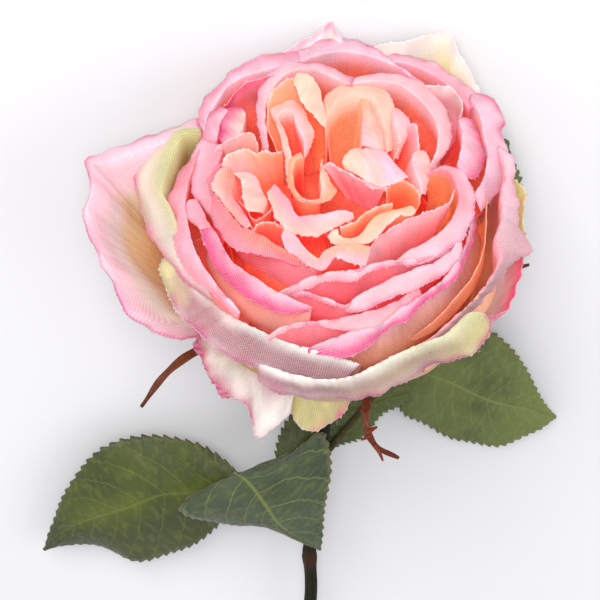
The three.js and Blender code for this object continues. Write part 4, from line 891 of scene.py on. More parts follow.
def vein_group() -> bpy.types.NodeTree:
    """Leaf veins on coordinates across (-1 to 1) and along (0 to 1).

    A side vein lies where along minus a share of the distance across, times the pairs, is
    whole. A fine net between them is the distance to the walls of small cells.
    """
    tree = node_tree(
        "leaf_veins",
        {"Colour": "Color", "Vein": "Color", "Leaf": "Vector", "Object": "Vector",
         "Pairs": "Float", "Lift": "Float"},
        {"Colour": "Color", "Height": "Float"},
    )
    b = Board(tree)
    given = b.add("NodeGroupInput").outputs
    apart = b.add("ShaderNodeSeparateXYZ")
    b.put(apart.inputs[0], given["Leaf"])
    across = b.math("ABSOLUTE", apart.outputs[0])
    wander = b.noise(given["Object"], 160.0, 2.0)
    lean = b.math("MULTIPLY", b.math("POWER", across, 1.25), 0.24)
    along = b.math("SUBTRACT", apart.outputs[1], lean)
    along = b.math("MULTIPLY_ADD", wander, 0.03, along)
    away = b.math("PINGPONG", b.math("MULTIPLY", along, given["Pairs"]), 0.5)
    side = b.step(away, 0.055, 0.0)
    rib = b.step(across, 0.045, 0.0)
    cells = b.add("ShaderNodeTexVoronoi", feature="DISTANCE_TO_EDGE")
    b.put(cells.inputs["Vector"], given["Object"])
    cells.inputs["Scale"].default_value = 800.0
    net = b.math("MULTIPLY", b.step(cells.outputs[0], 0.1, 0.0), b.step(wander, 0.35, 0.65))
    veins = b.math("MAXIMUM", rib, b.math("MULTIPLY", side, 0.85))
    mask = b.math("MAXIMUM", veins, b.math("MULTIPLY", net, 0.24))
    patch = b.noise(given["Object"], 60.0, 4.0)
    mottled = b.blend(b.step(patch, 0.4, 0.7, 0.0, 0.6), given["Colour"], (0.012, 0.022, 0.006, 1))
    streak = b.noise(b.stretch(given["Leaf"], (5.0, 34.0, 1)), 1.0, 3.0)
    mottled = b.blend(b.step(streak, 0.45, 0.75, 0.0, 0.26), mottled, given["Vein"])
    out = b.add("NodeGroupOutput").inputs
    share = b.math("MULTIPLY", mask, given["Lift"])
    b.put(out["Colour"], b.blend(share, mottled, given["Vein"]))
    grain = b.noise(given["Object"], 1500.0, 2.0)
    b.put(out["Height"], b.math("MULTIPLY_ADD", grain, 0.25, b.math("SUBTRACT", 1.0, mask)))
    return tree


class Workshop:
    """Holds the shared shader groups, built once."""

    groups: dict[str, bpy.types.NodeTree] = {}

    @classmethod
    def group(cls, board: Board, name: str) -> bpy.types.Node:
        """A group node placed in a material."""
        if name not in cls.groups:
            makers = {"plain_weave": weave_group, "leaf_veins": vein_group}
            cls.groups[name] = makers[name]()
        node = board.add("ShaderNodeGroup")
        node.node_tree = cls.groups[name]
        return node


def blank(name: str) -> tuple[bpy.types.Material, Board, bpy.types.Node, bpy.types.Node]:
    """A new material with its Principled shader and output.

    Returns:
        The material, its board, the shader node and the output node.
    """
    material = bpy.data.materials.new(name)
    material.use_nodes = True
    material.node_tree.nodes.clear()
    board = Board(material.node_tree)
    shader = board.add("ShaderNodeBsdfPrincipled")
    out = board.add("ShaderNodeOutputMaterial")
    board.put(out.inputs[0], shader.outputs[0])
    return material, board, shader, out


def bump(board: Board, height: object, strength: float, distance: float) -> object:
    """The normal of one Bump node."""
    node = board.add("ShaderNodeBump")
    node.inputs["Strength"].default_value = strength
    node.inputs["Distance"].default_value = distance
    board.put(node.inputs["Height"], height)
    return node.outputs[0]


@dataclass(frozen=True)
class Cloth:
    """Woven petal cloth: thread spacing in millimetres, how it takes the light, and a painted glow.
    """

    name: str
    pitch: float = 0.38
    contrast: float = 0.36
    relief: float = 0.45
    roughness: float = 0.6
    sheen: float = 0.06
    glow: float = 0.22
    bleed: float = 0.4
    # lift: strength of a painted glow, an emission that brightens shaded folds.
    lift: float = 0.06

    def material(self) -> bpy.types.Material:
        """Dyed threads that let a share of the light through and spread red light furthest,
        with a painted glow: the squared tint is emitted.
        """
        material, b, shader, out = blank(self.name)
        tint = b.add("ShaderNodeAttribute", attribute_name="tint")
        cloth = b.add("ShaderNodeUVMap", uv_map="cloth")
        weave = Workshop.group(b, "plain_weave")
        b.put(weave.inputs["Colour"], tint.outputs["Color"])
        b.put(weave.inputs["Cloth"], cloth.outputs[0])
        weave.inputs["Pitch"].default_value = self.pitch
        weave.inputs["Contrast"].default_value = self.contrast
        normal = bump(b, weave.outputs["Height"], self.relief, 0.00012)
        b.put(shader.inputs["Base Color"], weave.outputs["Colour"])
        b.put(shader.inputs["Normal"], normal)
        shader.inputs["Roughness"].default_value = self.roughness
        shader.inputs["Specular IOR Level"].default_value = 0.12
        shader.inputs["Sheen Weight"].default_value = self.sheen
        shader.inputs["Sheen Roughness"].default_value = 0.45
        shader.inputs["Subsurface Weight"].default_value = self.bleed
        shader.inputs["Subsurface Radius"].default_value = (1.0, 0.3, 0.18)
        shader.inputs["Subsurface Scale"].default_value = 0.006
        # Painted glow: the tint squared, emitted at the lift strength, keeps shaded folds bright
        # and saturated.
        dyed = tint.outputs["Color"]
        b.put(shader.inputs["Emission Color"], b.blend(1.0, dyed, dyed, "MULTIPLY"))
        shader.inputs["Emission Strength"].default_value = self.lift
        through = b.add("ShaderNodeBsdfTranslucent")
        b.put(through.inputs["Color"], weave.outputs["Colour"])
        b.put(through.inputs["Normal"], normal)
        mix = b.add("ShaderNodeMixShader")
        mix.inputs[0].default_value = self.glow
        b.put(mix.inputs[1], shader.outputs[0])
        b.put(mix.inputs[2], through.outputs[0])
        b.put(out.inputs[0], mix.outputs[0])
        return material


@dataclass(frozen=True)
class LeafCloth:
    """Pressed leaf cloth with veins: colours as codes, pairs of side veins."""

    name: str
    vein: str
    pairs: float = 9.0
    lift: float = 0.55
    roughness: float = 0.5

    def material(self) -> bpy.types.Material:
        """Mottled green with lighter veins pressed into it."""
        material, b, shader, _ = blank(self.name)
        tint = b.add("ShaderNodeAttribute", attribute_name="tint")
        leaf = b.add("ShaderNodeUVMap", uv_map="cloth")
        place = b.add("ShaderNodeTexCoord")
        veins = Workshop.group(b, "leaf_veins")
        b.put(veins.inputs["Colour"], tint.outputs["Color"])
        veins.inputs["Vein"].default_value = (*tone(self.vein), 1)
        b.put(veins.inputs["Leaf"], leaf.outputs[0])
        b.put(veins.inputs["Object"], place.outputs["Object"])
        veins.inputs["Pairs"].default_value = self.pairs
        veins.inputs["Lift"].default_value = self.lift
        b.put(shader.inputs["Base Color"], veins.outputs["Colour"])
        b.put(shader.inputs["Normal"], bump(b, veins.outputs["Height"], 0.5, 0.0003))
        shader.inputs["Roughness"].default_value = self.roughness
        shader.inputs["Specular IOR Level"].default_value = 0.35
        shader.inputs["Sheen Weight"].default_value = 0.1
        return material


@dataclass(frozen=True)
class Bark:
    """Moulded stem or sepal skin: fine streaks along one way and a speckle."""

    name: str
    streak: tuple[float, float, float]
    speck: str
    roughness: float = 0.5
    relief: float = 0.5

    def material(self) -> bpy.types.Material:
        """Tint darkened along streaks, with specks of a second colour."""
        material, b, shader, _ = blank(self.name)
        tint = b.add("ShaderNodeAttribute", attribute_name="tint")
        place = b.add("ShaderNodeTexCoord")
        streaks = b.noise(b.stretch(place.outputs["Object"], self.streak), 900.0, 3.0)
        specks = b.noise(place.outputs["Object"], 700.0, 2.0)
        dark = b.step(streaks, 0.35, 0.65, 0.0, 0.4)
        base = b.blend(dark, tint.outputs["Color"], (0.008, 0.007, 0.003, 1))
        spotted = b.blend(b.step(specks, 0.62, 0.72, 0.0, 0.6), base, (*tone(self.speck), 1))
        b.put(shader.inputs["Base Color"], spotted)
        shader.inputs["Specular IOR Level"].default_value = 0.14
        rough = b.step(streaks, 0.3, 0.7, self.roughness - 0.1, self.roughness + 0.15)
        b.put(shader.inputs["Roughness"], rough)
        b.put(shader.inputs["Normal"], bump(b, streaks, self.relief, 0.0003))
        return material


@dataclass(frozen=True)
class Dye:
    """How one petal is dyed.

    Bands are (place, left tone, right tone); the right tone is full at reach across. A place
    is 0 at the rim, 1 at the crest that the petal rolls over, and rises by 1 for each 10 mm
    further down the inside.
    """

    bands: tuple[tuple[float, str, str], ...]
    back: str
    edge: str = "hot"
    edge_width: float = 1.1
    edge_left: float = 0.5
    edge_right: float = 0.5
    mottle: float = 0.05
    reach: float = 0.95
    under: str = ""

    @staticmethod
    def rolled(
        rim: str, left: str, right: str, deep: str, sink: float = 0.75, **more: object
    ) -> "Dye":
        """The common dye: rim to crest over the lip, then the deep tone after a sink."""
        bands = ((0, rim, rim), (1, left, right), (1 + sink, deep, deep))
        return Dye(bands, str(more.pop("back", left)), **more)

    def colours(
        self, s: np.ndarray, place: np.ndarray, rim: np.ndarray, rng: np.random.Generator
    ) -> tuple[np.ndarray, np.ndarray]:
        """The colours of a petal's two faces.

        Between two bands the tones blend smoothly; the edge tone falls off as a bell of the
        distance to any border, stronger where the dye has pooled.

        Args:
            s: share across. place: place down the petal. rim: distance to any border.
            rng: the petal's random source.
        Returns:
            Front and back colours.
        """
        a, f = rng.uniform(0, FULL_TURN, 6), rng.uniform(0.7, 1.4, 6)
        cloud = np.sin(9 * f[0] * s + a[0] + 1.8 * place) + np.sin(17 * f[1] * s + a[1] - 3 * place)
        cloud = cloud + 0.6 * np.sin(31 * f[3] * s + a[3] + 7 * place)
        side = ramp(0.05, self.reach, s + 0.05 * cloud)[..., None]
        place = place + 0.04 * cloud
        front = None
        for (low, *_), (high, left, right) in zip(self.bands, self.bands[1:]):
            here = tone(left) * (1 - side) + tone(right) * side
            if front is None:
                front = tone(self.bands[0][1]) * (1 - side) + tone(self.bands[0][2]) * side
            step = ramp(low, high, place)[..., None]
            front = front * (1 - step) + here * step
        down = ramp(1.0, 2.2, place)[..., None] * 0.85
        back = tone(self.back) * (1 - down) + tone(self.under or self.bands[-1][1]) * down
        lip = ramp(1.05, 0.9, place)[..., None]
        back = back * (1 - lip) + front * lip
        pooled = np.sin(23 * f[2] * s + a[2]) + 0.6 * np.sin(51 * f[4] * s + a[4])
        hot = self.edge_left * (1 - side[..., 0]) + self.edge_right * side[..., 0]
        hot = np.clip(hot * (0.8 + 0.3 * pooled), 0, 1)
        bell = (hot * np.exp(-((rim / (self.edge_width * (1 + 0.35 * pooled))) ** 1.3)))[..., None]
        front, back = (c * (1 - bell) + tone(self.edge) * bell for c in (front, back))
        value = (1 + self.mottle * cloud)[..., None]
        return front * value, back * value


@dataclass(frozen=True)
class LeafTints:
    """A leaf's upper colours: by the rib, across the blade, at the tip, at its cut edge;
    its under colour; and a painted shade that darkens one half of the blade.
    """

    rib: str
    blade: str
    tip: str
    edge: str
    under: str
    shade: float = 0.0

    def over(self, t: np.ndarray, x: np.ndarray) -> np.ndarray:
        """The upper face's colours at shares along and across."""
        span = np.abs(x)
        c = tone(self.rib) + (tone(self.blade) - tone(self.rib)) * ramp(0.0, 0.5, span)[..., None]
        c = c + (tone(self.tip) - c) * ramp(0.55, 1.05, t)[..., None]
        # Painted shade: the half of the blade on the left edge's side is darker by the shade share.
        c = c * (1 - self.shade * ramp(0.15, -0.25, x))[..., None]
        return c + (tone(self.edge) - c) * ramp(0.97, 1.0, span)[..., None]


FORMS: dict[Family, dict[str, float]] = {
    Family.GUARD: {"thick": 0.5, "wave": 0.4, "crease": 0.05},
    Family.PINK: {"thick": 0.4, "wave": 0.3, "crease": 0.06, "crisp": 0.8},
    Family.HEART: {"thick": 0.36, "wave": 0.28, "crease": 0.06, "crisp": 0.65},
}
rolled = Dye.rolled
DYES: dict[str, Dye] = {
    "left_big": Dye(
        ((1, "lilac", "lilac"), (1.4, "lilac", "lilac"), (2.0, "ivory", "lilac"), (2.7, "tan",
        "sand"), (3.8, "ochre", "tan")), "lilac", edge_width=1.3, edge_left=1.0, edge_right=0.8,
    ),
    "left_rolled": Dye(
        ((0, "lime", "orchid"), (0.45, "cream", "ivory"), (1, "lime", "cream"), (2.0, "moss",
        "tan"), (3.0, "ochre", "ochre")), "butter", edge_width=1.2, edge_left=0.7, edge_right=0.8,
    ),
    # Its dimmed mauve middle band is a painted shade on the lip.
    "front_left_folded": Dye(
        ((0, "lime", "mauve"), (0.25, "butter", "painted_shade_mauve"), (0.6, "butter", "painted_shade_mauve"), (1.0, "cream",
        "ivory"), (1.8, "butter", "sand"), (3.4, "ochre", "tan")), "lime", edge="plum",
        edge_left=0.3, edge_right=1.1, reach=0.28,
    ),
    # The mauve rim and the dimmed band on its left are a painted shade on the lip.
    "front_rolled": Dye(
        ((0, "mauve", "lime"), (0.5, "painted_shade_mauve", "lime"), (0.98, "paper", "lime"), (2.0, "sand",
        "butter"), (3.5, "tan", "ochre")), "ivory", edge="plum", edge_width=1.3, edge_left=0.6,
        edge_right=2.0, reach=1.3,
    ),
    # The dimmed mauve on the right of its lip is a painted shade.
    "right_tipped": Dye(
        ((0, "lilac", "painted_shade_mauve"), (0.8, "lilac", "painted_shade_mauve"), (1.15, "pink", "pink"), (2.2, "pink",
        "peach"), (4.2, "peach", "peach")), "peach", edge_left=0.4, edge_right=0.1, reach=0.75,
    ),
    "right_low_pink": Dye(
        ((1, "hot", "hot"), (1.3, "orchid", "orchid"), (1.7, "lilac", "lilac"), (2.4, "paper",
        "paper")), "orchid", edge_width=2.0, edge_left=1.0, edge_right=1.0, under="lilac",
    ),
    "right_back_green": Dye(
        ((1, "pear", "pear"), (2.5, "pear", "pear"), (4, "lime", "lime")), "pear", edge="pink",
        edge_left=0.1, edge_right=0.4,
    ),
    "top_pointed": Dye(
        ((1, "lilac", "lilac"), (1.4, "paper", "paper"), (3, "sand", "sand")), "paper",
        edge_width=0.7, edge_left=0.2, edge_right=0.7,
    ),
    "top_right_cream": Dye(
        ((1, "ivory", "ivory"), (1.8, "ivory", "pear"), (4, "cream", "pear")), "cream",
        edge="pink", edge_left=0.1, edge_right=0.3, reach=1.1,
    ),
    # The mauve in its bands is a painted shade on the hanging petal.
    "front_hanging_white": Dye(
        ((1, "mauve", "ivory"), (1.5, "ivory", "ivory"), (2.4, "ivory", "mauve"), (3.5, "sand",
        "sand")), "ivory", edge="plum", edge_width=1.3, edge_left=1.7, edge_right=0.0,
        mottle=0.07, under="sand",
    ),
    "front_hanging_green": Dye(
        ((1, "lime", "lime"), (2.5, "butter", "butter")), "lime", edge_width=1.6, edge_left=0.05,
        edge_right=0.9,
    ),
    "top_left_outer": rolled(
        "orchid", "lilac", "lilac", "salmon", 1.0, edge_left=0.25, edge_right=0.3,
    ),
    "top_outer": rolled(
        "lilac", "lilac", "lilac", "salmon", 1.0, edge_left=0.3, edge_right=1.0, edge_width=0.9,
    ),
    "top_right_outer": rolled("lilac", "lilac", "pink", "salmon", edge_left=0.7, edge_right=0.4),
    "right_outer": rolled(
        "lilac", "lilac", "lilac", "salmon", edge_left=1.2, edge_right=0.1, edge_width=1.7,
    ),
    "top_left_hot": Dye(
        ((1, "hot", "rose"), (1.35, "orchid", "pink"), (1.9, "pink", "salmon"), (2.6, "flame",
        "flame")), "rose", edge_left=0.9, edge_right=0.8, edge_width=1.5,
    ),
    "left_lobe": rolled("hot", "blush", "shell", "salmon", edge_left=0.9, edge_right=0.2),
    "left_upper": rolled("orchid", "orchid", "lilac", "salmon", edge_left=0.4, edge_right=0.3),
    "ring_band": rolled("lilac", "blush", "blush", "salmon", edge_left=0.2, edge_right=0.7),
    "right_lobed": Dye(
        ((1, "paper", "paper"), (1.8, "lilac", "lilac"), (2.6, "pink", "pink"), (4, "flame",
        "flame")), "blush", edge_left=0.3, edge_right=0.3,
    ),
    "right_cupped": Dye(
        ((0, "blush", "blush"), (1, "blush", "blush"), (1.8, "salmon", "salmon"), (3, "orange",
        "flame")), "blush", edge_left=0.3, edge_right=0.15,
    ),
    "right_hot_flap": rolled(
        "orchid", "lilac", "lilac", "coral", edge_left=1.0, edge_right=1.0, edge_width=1.1,
    ),
    "left_outer": rolled(
        "pink", "pink", "lilac", "salmon", sink=0.4, edge_left=0.2, edge_right=0.25,
    ),
    "left_column": rolled(
        "lilac", "pink", "pink", "coral", sink=0.4, edge_left=0.35, edge_right=0.3,
    ),
    "left_round_flap": rolled(
        "lilac", "pink", "rose", "coral", sink=0.4, edge_left=0.3, edge_right=0.4,
    ),
    "left_hot_flap": rolled(
        "hot", "orchid", "lilac", "coral", sink=0.4, edge_left=0.6, edge_right=0.3,
        edge_width=1.4, back="shell", under="shell",
    ),
    "inner_left": rolled(
        "pink", "rose", "salmon", "ember", sink=0.4, edge_left=0.15, edge_right=0.2, back="pink",
        under="pink",
    ),
    "front_upper": rolled(
        "blush", "blush", "lilac", "ember", edge_width=0.6, sink=0.4, edge_left=0.4,
        edge_right=0.7, back="pink", under="rose",
    ),
    "front_second": rolled(
        "blush", "blush", "lilac", "coral", edge_width=0.6, sink=0.4, edge_left=0.7,
        edge_right=0.6, back="pink", under="rose",
    ),
    "front_third": rolled(
        "blush", "blush", "pink", "coral", edge_width=0.6, sink=0.4, edge_left=0.2,
        edge_right=0.7, back="pink", under="rose",
    ),
    "front_lowest": rolled(
        "hot", "lilac", "lilac", "coral", sink=0.4, edge_left=1.0, edge_right=0.9, edge_width=1.1,
        back="mauve", under="tan",
    ),
    "right_orange_cup": rolled(
        "lilac", "pink", "blush", "apricot", edge_width=0.6, sink=0.4, edge_left=0.3,
        edge_right=0.7,
    ),
    "right_inner": rolled(
        "blush", "blush", "pink", "flame", back="blush", edge_left=0.2, edge_right=0.2,
        under="pink",
    ),
    "right_wall": Dye(
        ((1, "peach", "peach"), (1.8, "apricot", "apricot"), (3, "apricot", "apricot")), "peach",
        edge_left=0, edge_right=0, under="peach",
    ),
    "left_small_flap": Dye(
        ((1, "blush", "shell"), (1.7, "blush", "shell"), (2.6, "peach", "apricot"), (4, "flame",
        "flame")), "blush", edge_left=0.3, edge_right=0.1,
    ),
    "left_ribbon": rolled("shell", "pink", "blush", "ember"),
    "front_ribbon": rolled("lilac", "blush", "peach", "ember"),
    "right_loop_front": rolled("cream", "cream", "peach", "flame"),
    "right_loop_back": rolled("peach", "peach", "apricot", "ember"),
    "pink_triangle": rolled("lilac", "blush", "blush", "pink", back="blush", under="pink"),
    "cream_tongue": Dye(
        ((0, "cream", "lilac"), (1, "cream", "lilac"), (2, "apricot", "pink")), "peach",
        edge="shell", edge_left=0.3, edge_right=0.3, edge_width=0.7,
    ),
    "top_arch": rolled("cream", "cream", "shell", "orange", back="peach"),
    "arch_tongue": rolled("shell", "peach", "blush", "apricot"),
    "centre_cup": rolled("apricot", "peach", "shell", "ember"),
    "left_saddle": Dye(
        ((1, "shell", "peach"), (1.5, "blush", "peach"), (2.4, "apricot", "orange"), (3.4,
        "flame", "flame")), "peach",
    ),
    "left_tongue": rolled("shell", "blush", "shell", "coral"),
    "left_flap": rolled("shell", "salmon", "pink", "coral"),
    "left_ridge": rolled("blush", "salmon", "salmon", "ember"),
    "small_arch": rolled("shell", "salmon", "apricot", "ember"),
    "upper_loop": rolled("shell", "shell", "blush", "coral", 0.5),
    "top_flap": rolled("cream", "cream", "shell", "orange"),
    "apricot_cup": Dye(
        ((1, "peach", "peach"), (1.7, "peach", "apricot"), (2.6, "orange", "orange"), (3.6,
        "flame", "flame")), "peach",
    ),
    "right_facet": rolled("blush", "blush", "shell", "coral"),
    "right_strip": rolled("blush", "pink", "blush", "coral"),
    "right_pale_flap": rolled("shell", "blush", "blush", "coral"),
    "right_hollow": rolled("shell", "peach", "apricot", "orange", back="apricot", under="orange"),
}
HEART_RIM: dict[str, object] = {
    "edge": "ivory", "edge_width": 0.45, "edge_left": 0.75, "edge_right": 0.75,
}
LEAF_CLOTHS: dict[str, LeafCloth] = {
    "olive": LeafCloth("olive_leaf_cloth", "6c722a", lift=0.3),
    "dark": LeafCloth("dark_leaf_cloth", "6f7a36", lift=0.6, roughness=0.44),
    "matte": LeafCloth("matte_leaf_cloth", "757e42", lift=0.4, roughness=0.6),
}
LEAF_LOOKS: dict[str, tuple[str, LeafTints, str]] = {
    # The left leaf's last number is its painted shade over one half of the blade.
    "left": (
        "olive", LeafTints("444f10", "394310", "2f3a14", "423f22", "68733b", 0.28),
        "left_leaf_spray",
    ),
    "front": (
        "dark", LeafTints("3a4630", "323e2a", "36422e", "5f5a3c", "7b8644"),
        "left_leaf_spray",
    ),
    "middle": (
        "olive", LeafTints("3f4b16", "3a4514", "425018", "4b4b20", "68733b"),
        "right_leaf_spray",
    ),
    "right": (
        "matte", LeafTints("515c2a", "4e5928", "59662f", "5a582f", "68733b"),
        "right_leaf_spray",
    ),
    "far": (
        "matte", LeafTints("465125", "434e23", "4b562a", "4c4b2a", "68733b"),
        "right_leaf_spray",
    ),
}


@dataclass
class Petal:
    """One petal: its rails (right, down, height), its feet and its dye.

    Its surface is a grid of smooth ribs across the rails, waved more towards the rim.
    """

    name: str
    family: Family
    rails: list[np.ndarray]
    dye: Dye
    low: tuple[float, float] = (26, 6)
    belly: tuple[float, float] = (46, 18)
    drop: float = 12.0
    pinch: float = 0.86
    thick: float = 0.45
    wave: float = 0.45
    crease: float = 0.12
    flare: float = 0.8
    bulge: float = 0.0
    crumple: float = 0.0
    torn: float = 0.0
    pale: float = 0.5
    crisp: float = 0.1
    lean: float = 0.0

    def leading(self, radius: float, height: float, share: float, rest: float = 0.0) -> np.ndarray:
        """A rail between base and fold: the fold's angles drawn in by a share, at a radius."""
        fold = self.rails[0]
        turn = np.unwrap(np.arctan2(fold[:, 1], fold[:, 0]))
        middle = (turn[0] + turn[-1]) / 2
        turn = middle + (turn - middle) * share
        out = np.hypot(fold[:, 0], fold[:, 1])
        r = radius * (1 + rest * (out / out.mean() - 1))
        return np.stack([r * np.cos(turn), r * np.sin(turn), np.full(len(r), height)], 1)

    def feet(self) -> list[np.ndarray]:
        """The hidden rails below the fold, by the petal's family."""
        fold = self.rails[0]
        far, high = np.hypot(fold[:, 0], fold[:, 1]).mean(), fold[:, 2].mean()
        if self.family is Family.GUARD:
            return [self.leading(6.2, 2.2, 0.45), self.leading(*self.low, 0.62, 0.2),
                    self.leading(*self.belly, 0.92, 0.5)]
        if self.family is Family.PINK:
            return [self.leading(min(32.6, far * 0.86) + 2 * self.bulge, 27, 0.9, 0.3),
                    self.leading(far + self.bulge, high * (0.78 - 0.02 * self.bulge), 0.97, 0.7)]
        foot = (fold - fold.mean(0)) * self.pinch + fold.mean(0)
        foot[:, :2] *= np.minimum(1, 21 / np.hypot(foot[:, 0], foot[:, 1]))[:, None]
        foot[:, 2] = fold[:, 2] - self.drop - 3
        foot[:, 0] += self.lean
        return [foot]

    def surface(self) -> tuple[np.ndarray, int]:
        """The grid of middle points in the bloom's frame, foot to rim, and the crest's row."""
        rails = self.feet() + self.rails
        line = smooth_path(self.rails[0], np.linspace(0, 1, 80))
        run = np.linalg.norm(np.diff(line, axis=0), axis=1).sum()
        cols = int(np.clip(run / 0.75, 36, 150))
        lines = [spaced(r, cols) for r in rails]
        for k in range(1, len(lines)):
            gap = np.linalg.norm(lines[k] - lines[k - 1], axis=1)
            away = lines[k] * [1, 1, 0]
            away = unit(away)
            away[:, 2] = -1.2
            least = lines[k - 1] + unit(away)
            keep = ramp(0.3, 1.6, gap)[:, None]
            lines[k] = least * (1 - keep) + lines[k] * keep
        lines = np.array(lines)
        if len(self.rails) > 1:
            away = lines[-1] * [1, 1, 0]
            roll = np.linalg.norm(lines[-1] - lines[-len(self.rails)], axis=1, keepdims=True)
            lines[-1] += unit(away) * np.minimum(self.flare, roll * 0.2)
        at = [0.0]
        for k in range(len(lines) - 1):
            long = np.linalg.norm(lines[k + 1] - lines[k], axis=1).mean()
            steps = int(np.clip(round(long / 1.1), 4, 22))
            at += [(k + (i + 1) / steps) / (len(lines) - 1) for i in range(steps)]
        crest = at.index((len(lines) - len(self.rails)) / (len(lines) - 1))
        at.insert(-1, at[-1] - (at[-1] - at[-2]) * 0.25)
        if len(self.rails) > 1:
            at.insert(crest + 1, at[crest] + (at[crest + 1] - at[crest]) * 0.25)
            at.insert(crest, at[crest] - (at[crest] - at[crest - 1]) * 0.25)
            crest += 1
        at, last = np.array(at), len(lines) - 1
        soft = smooth_path(lines, at)
        k = np.minimum((at * last).astype(int), last - 1)
        part = (at * last - k)[:, None, None]
        flat = lines[k] * (1 - part) + lines[k + 1] * part
        fold = len(lines) - len(self.rails)
        folded = ramp(fold - 1, fold, at * last) * self.crisp
        return soft + (flat - soft) * folded[:, None, None], crest

    def shell(self) -> Shell:
        """The petal as a closed sheet with its waves, frayed rim and loose threads."""
        rng = seeded(self.name)
        grid, crest = self.surface()
        run, across = arc(grid, 0), arc(grid, 1)
        depth = run[-1] - run
        s = across / across[:, -1:]
        s = s[-4:-3].repeat(len(grid), 0) * 0.5 + s * 0.5
        a, f = rng.uniform(0, FULL_TURN, 10), rng.uniform(0.75, 1.3, 10)
        width = across[crest, -1]
        near = np.minimum(1, across[:, -1:] / width) ** 2
        free = np.minimum(1, np.minimum(s, 1 - s) * width / 4)

        def waves(drift: float, *terms: tuple[int, float]) -> np.ndarray:
            """Sine waves along the rim, by draw and wavelength, that drift down the petal."""
            return sum(
                np.sin(2 * np.pi * f[k] * s * width / w + a[k] + drift * depth) for k, w in terms
            )

        slow = waves(0.06, (0, 19), (1, 11), (2, 6.5))
        frill = waves(0.3, (6, 4.6), (7, 3.1))
        fine = waves(0.1, (3, 4.1), (4, 2.7), (5, 1.9))
        lift = 0.6 * slow * np.exp(-depth / 7) + 0.14 * frill * np.exp(-depth / 2.2)
        lift = self.wave * lift * free
        lift += self.crease * fine * (0.35 + 0.65 * ramp(1, 9, depth)) * near
        rumple = np.sin(0.9 * across + 0.5 * depth + a[8])
        rumple *= np.sin(0.55 * depth - 0.35 * across + a[9])
        small = 0.6 * np.sin(1.7 * across - 1.1 * depth + a[2])
        rumple += small * np.sin(1.3 * depth + 0.8 * across)
        lift += self.crumple * rumple * ramp(0, 4, depth) * near
        grid = grid + normals(grid) * lift[..., None]
        out = normals(grid)
        ragged = rng.uniform(0, 1, grid.shape[1])
        fray = ragged**4 * 0.5 + 0.22 * (np.arange(len(ragged)) % 2) + 0.1 * ragged
        fray = fray + self.torn * ramp(0.3, 1, np.sin(s[-1] * width / 2.3 + a[6]))
        tip = grid[-1] - grid[-3]
        grid[-1] += unit(tip) * fray[:, None]
        rim = np.minimum(depth, np.minimum(across, across[:, -1:] - across) * 1.3)
        lip = depth[crest][None]
        place = np.where(depth < lip, depth / np.maximum(lip, 1e-6), 1 + (depth - lip) / 10)
        inner = -(normals(grid) * grid * [1, 1, 0]).sum(-1)
        front, back = self.dye.colours(s, place, rim, rng)
        if inner[len(grid) // 4 : crest - 2].mean() < 0:
            front, back = back, front
        thick = self.thick * (0.35 + 0.65 * ramp(0, 1.2, rim))
        for face in (front, back):
            # The rim row pales towards paper: pale frayed threads, partly a painted highlight that
            # lifts the rim out of its shade.
            face[-1] += (tone("paper") - face[-1]) * self.pale * (0.5 + 0.5 * ragged[:, None])
        turn = rng.uniform(0.15, 0.65)
        u, v = across - across[:, -1:] / 2, depth
        c, d = math.cos(turn), math.sin(turn)
        uv = np.stack([u * c - v * d, u * d + v * c], -1)
        body = Shell.sheet(laid(grid), thick, front, back, uv, laid(out) - laid(out * 0))
        if self.family is Family.GUARD:
            body.places[:, 2] = np.maximum(body.places[:, 2], 0.02)
        return Shell.joined([body, self.threads(grid, rng)])

    def threads(self, grid: np.ndarray, rng: np.random.Generator) -> Shell:
        """Loose threads at the rim: thin three-sided rods, most of them short.

        Args:
            grid: the petal's points in the bloom's frame. rng: its random source.
        """
        at = rng.integers(1, grid.shape[1] - 1, max(10, int(grid.shape[1] / 2.5)))
        out = grid[-1] - grid[-4]
        out = unit(out)
        along = np.gradient(grid[-1], axis=0)
        along = unit(along)
        tint = tone(self.dye.bands[0][1]) * 0.6 + tone("ivory") * 0.4
        rods = []
        for k in at:
            long = 0.25 + rng.uniform(0, 1) ** 4 * 1.9
            way = out[k] + along[k] * rng.normal(0, 0.8) + rng.normal(0, 0.25, 3)
            way /= np.linalg.norm(way)
            bend = np.cross(way, rng.normal(0, 1, 3)) * 0.3
            t = np.linspace(-0.3, 1, 4)[:, None]
            path = grid[-1, k] + (way * t + bend * t**2) * long
            rods.append(Shell.rod(laid(path), np.array([0.05, 0.05, 0.04, 0.025]), 3, tint))
        return Shell.joined(rods)


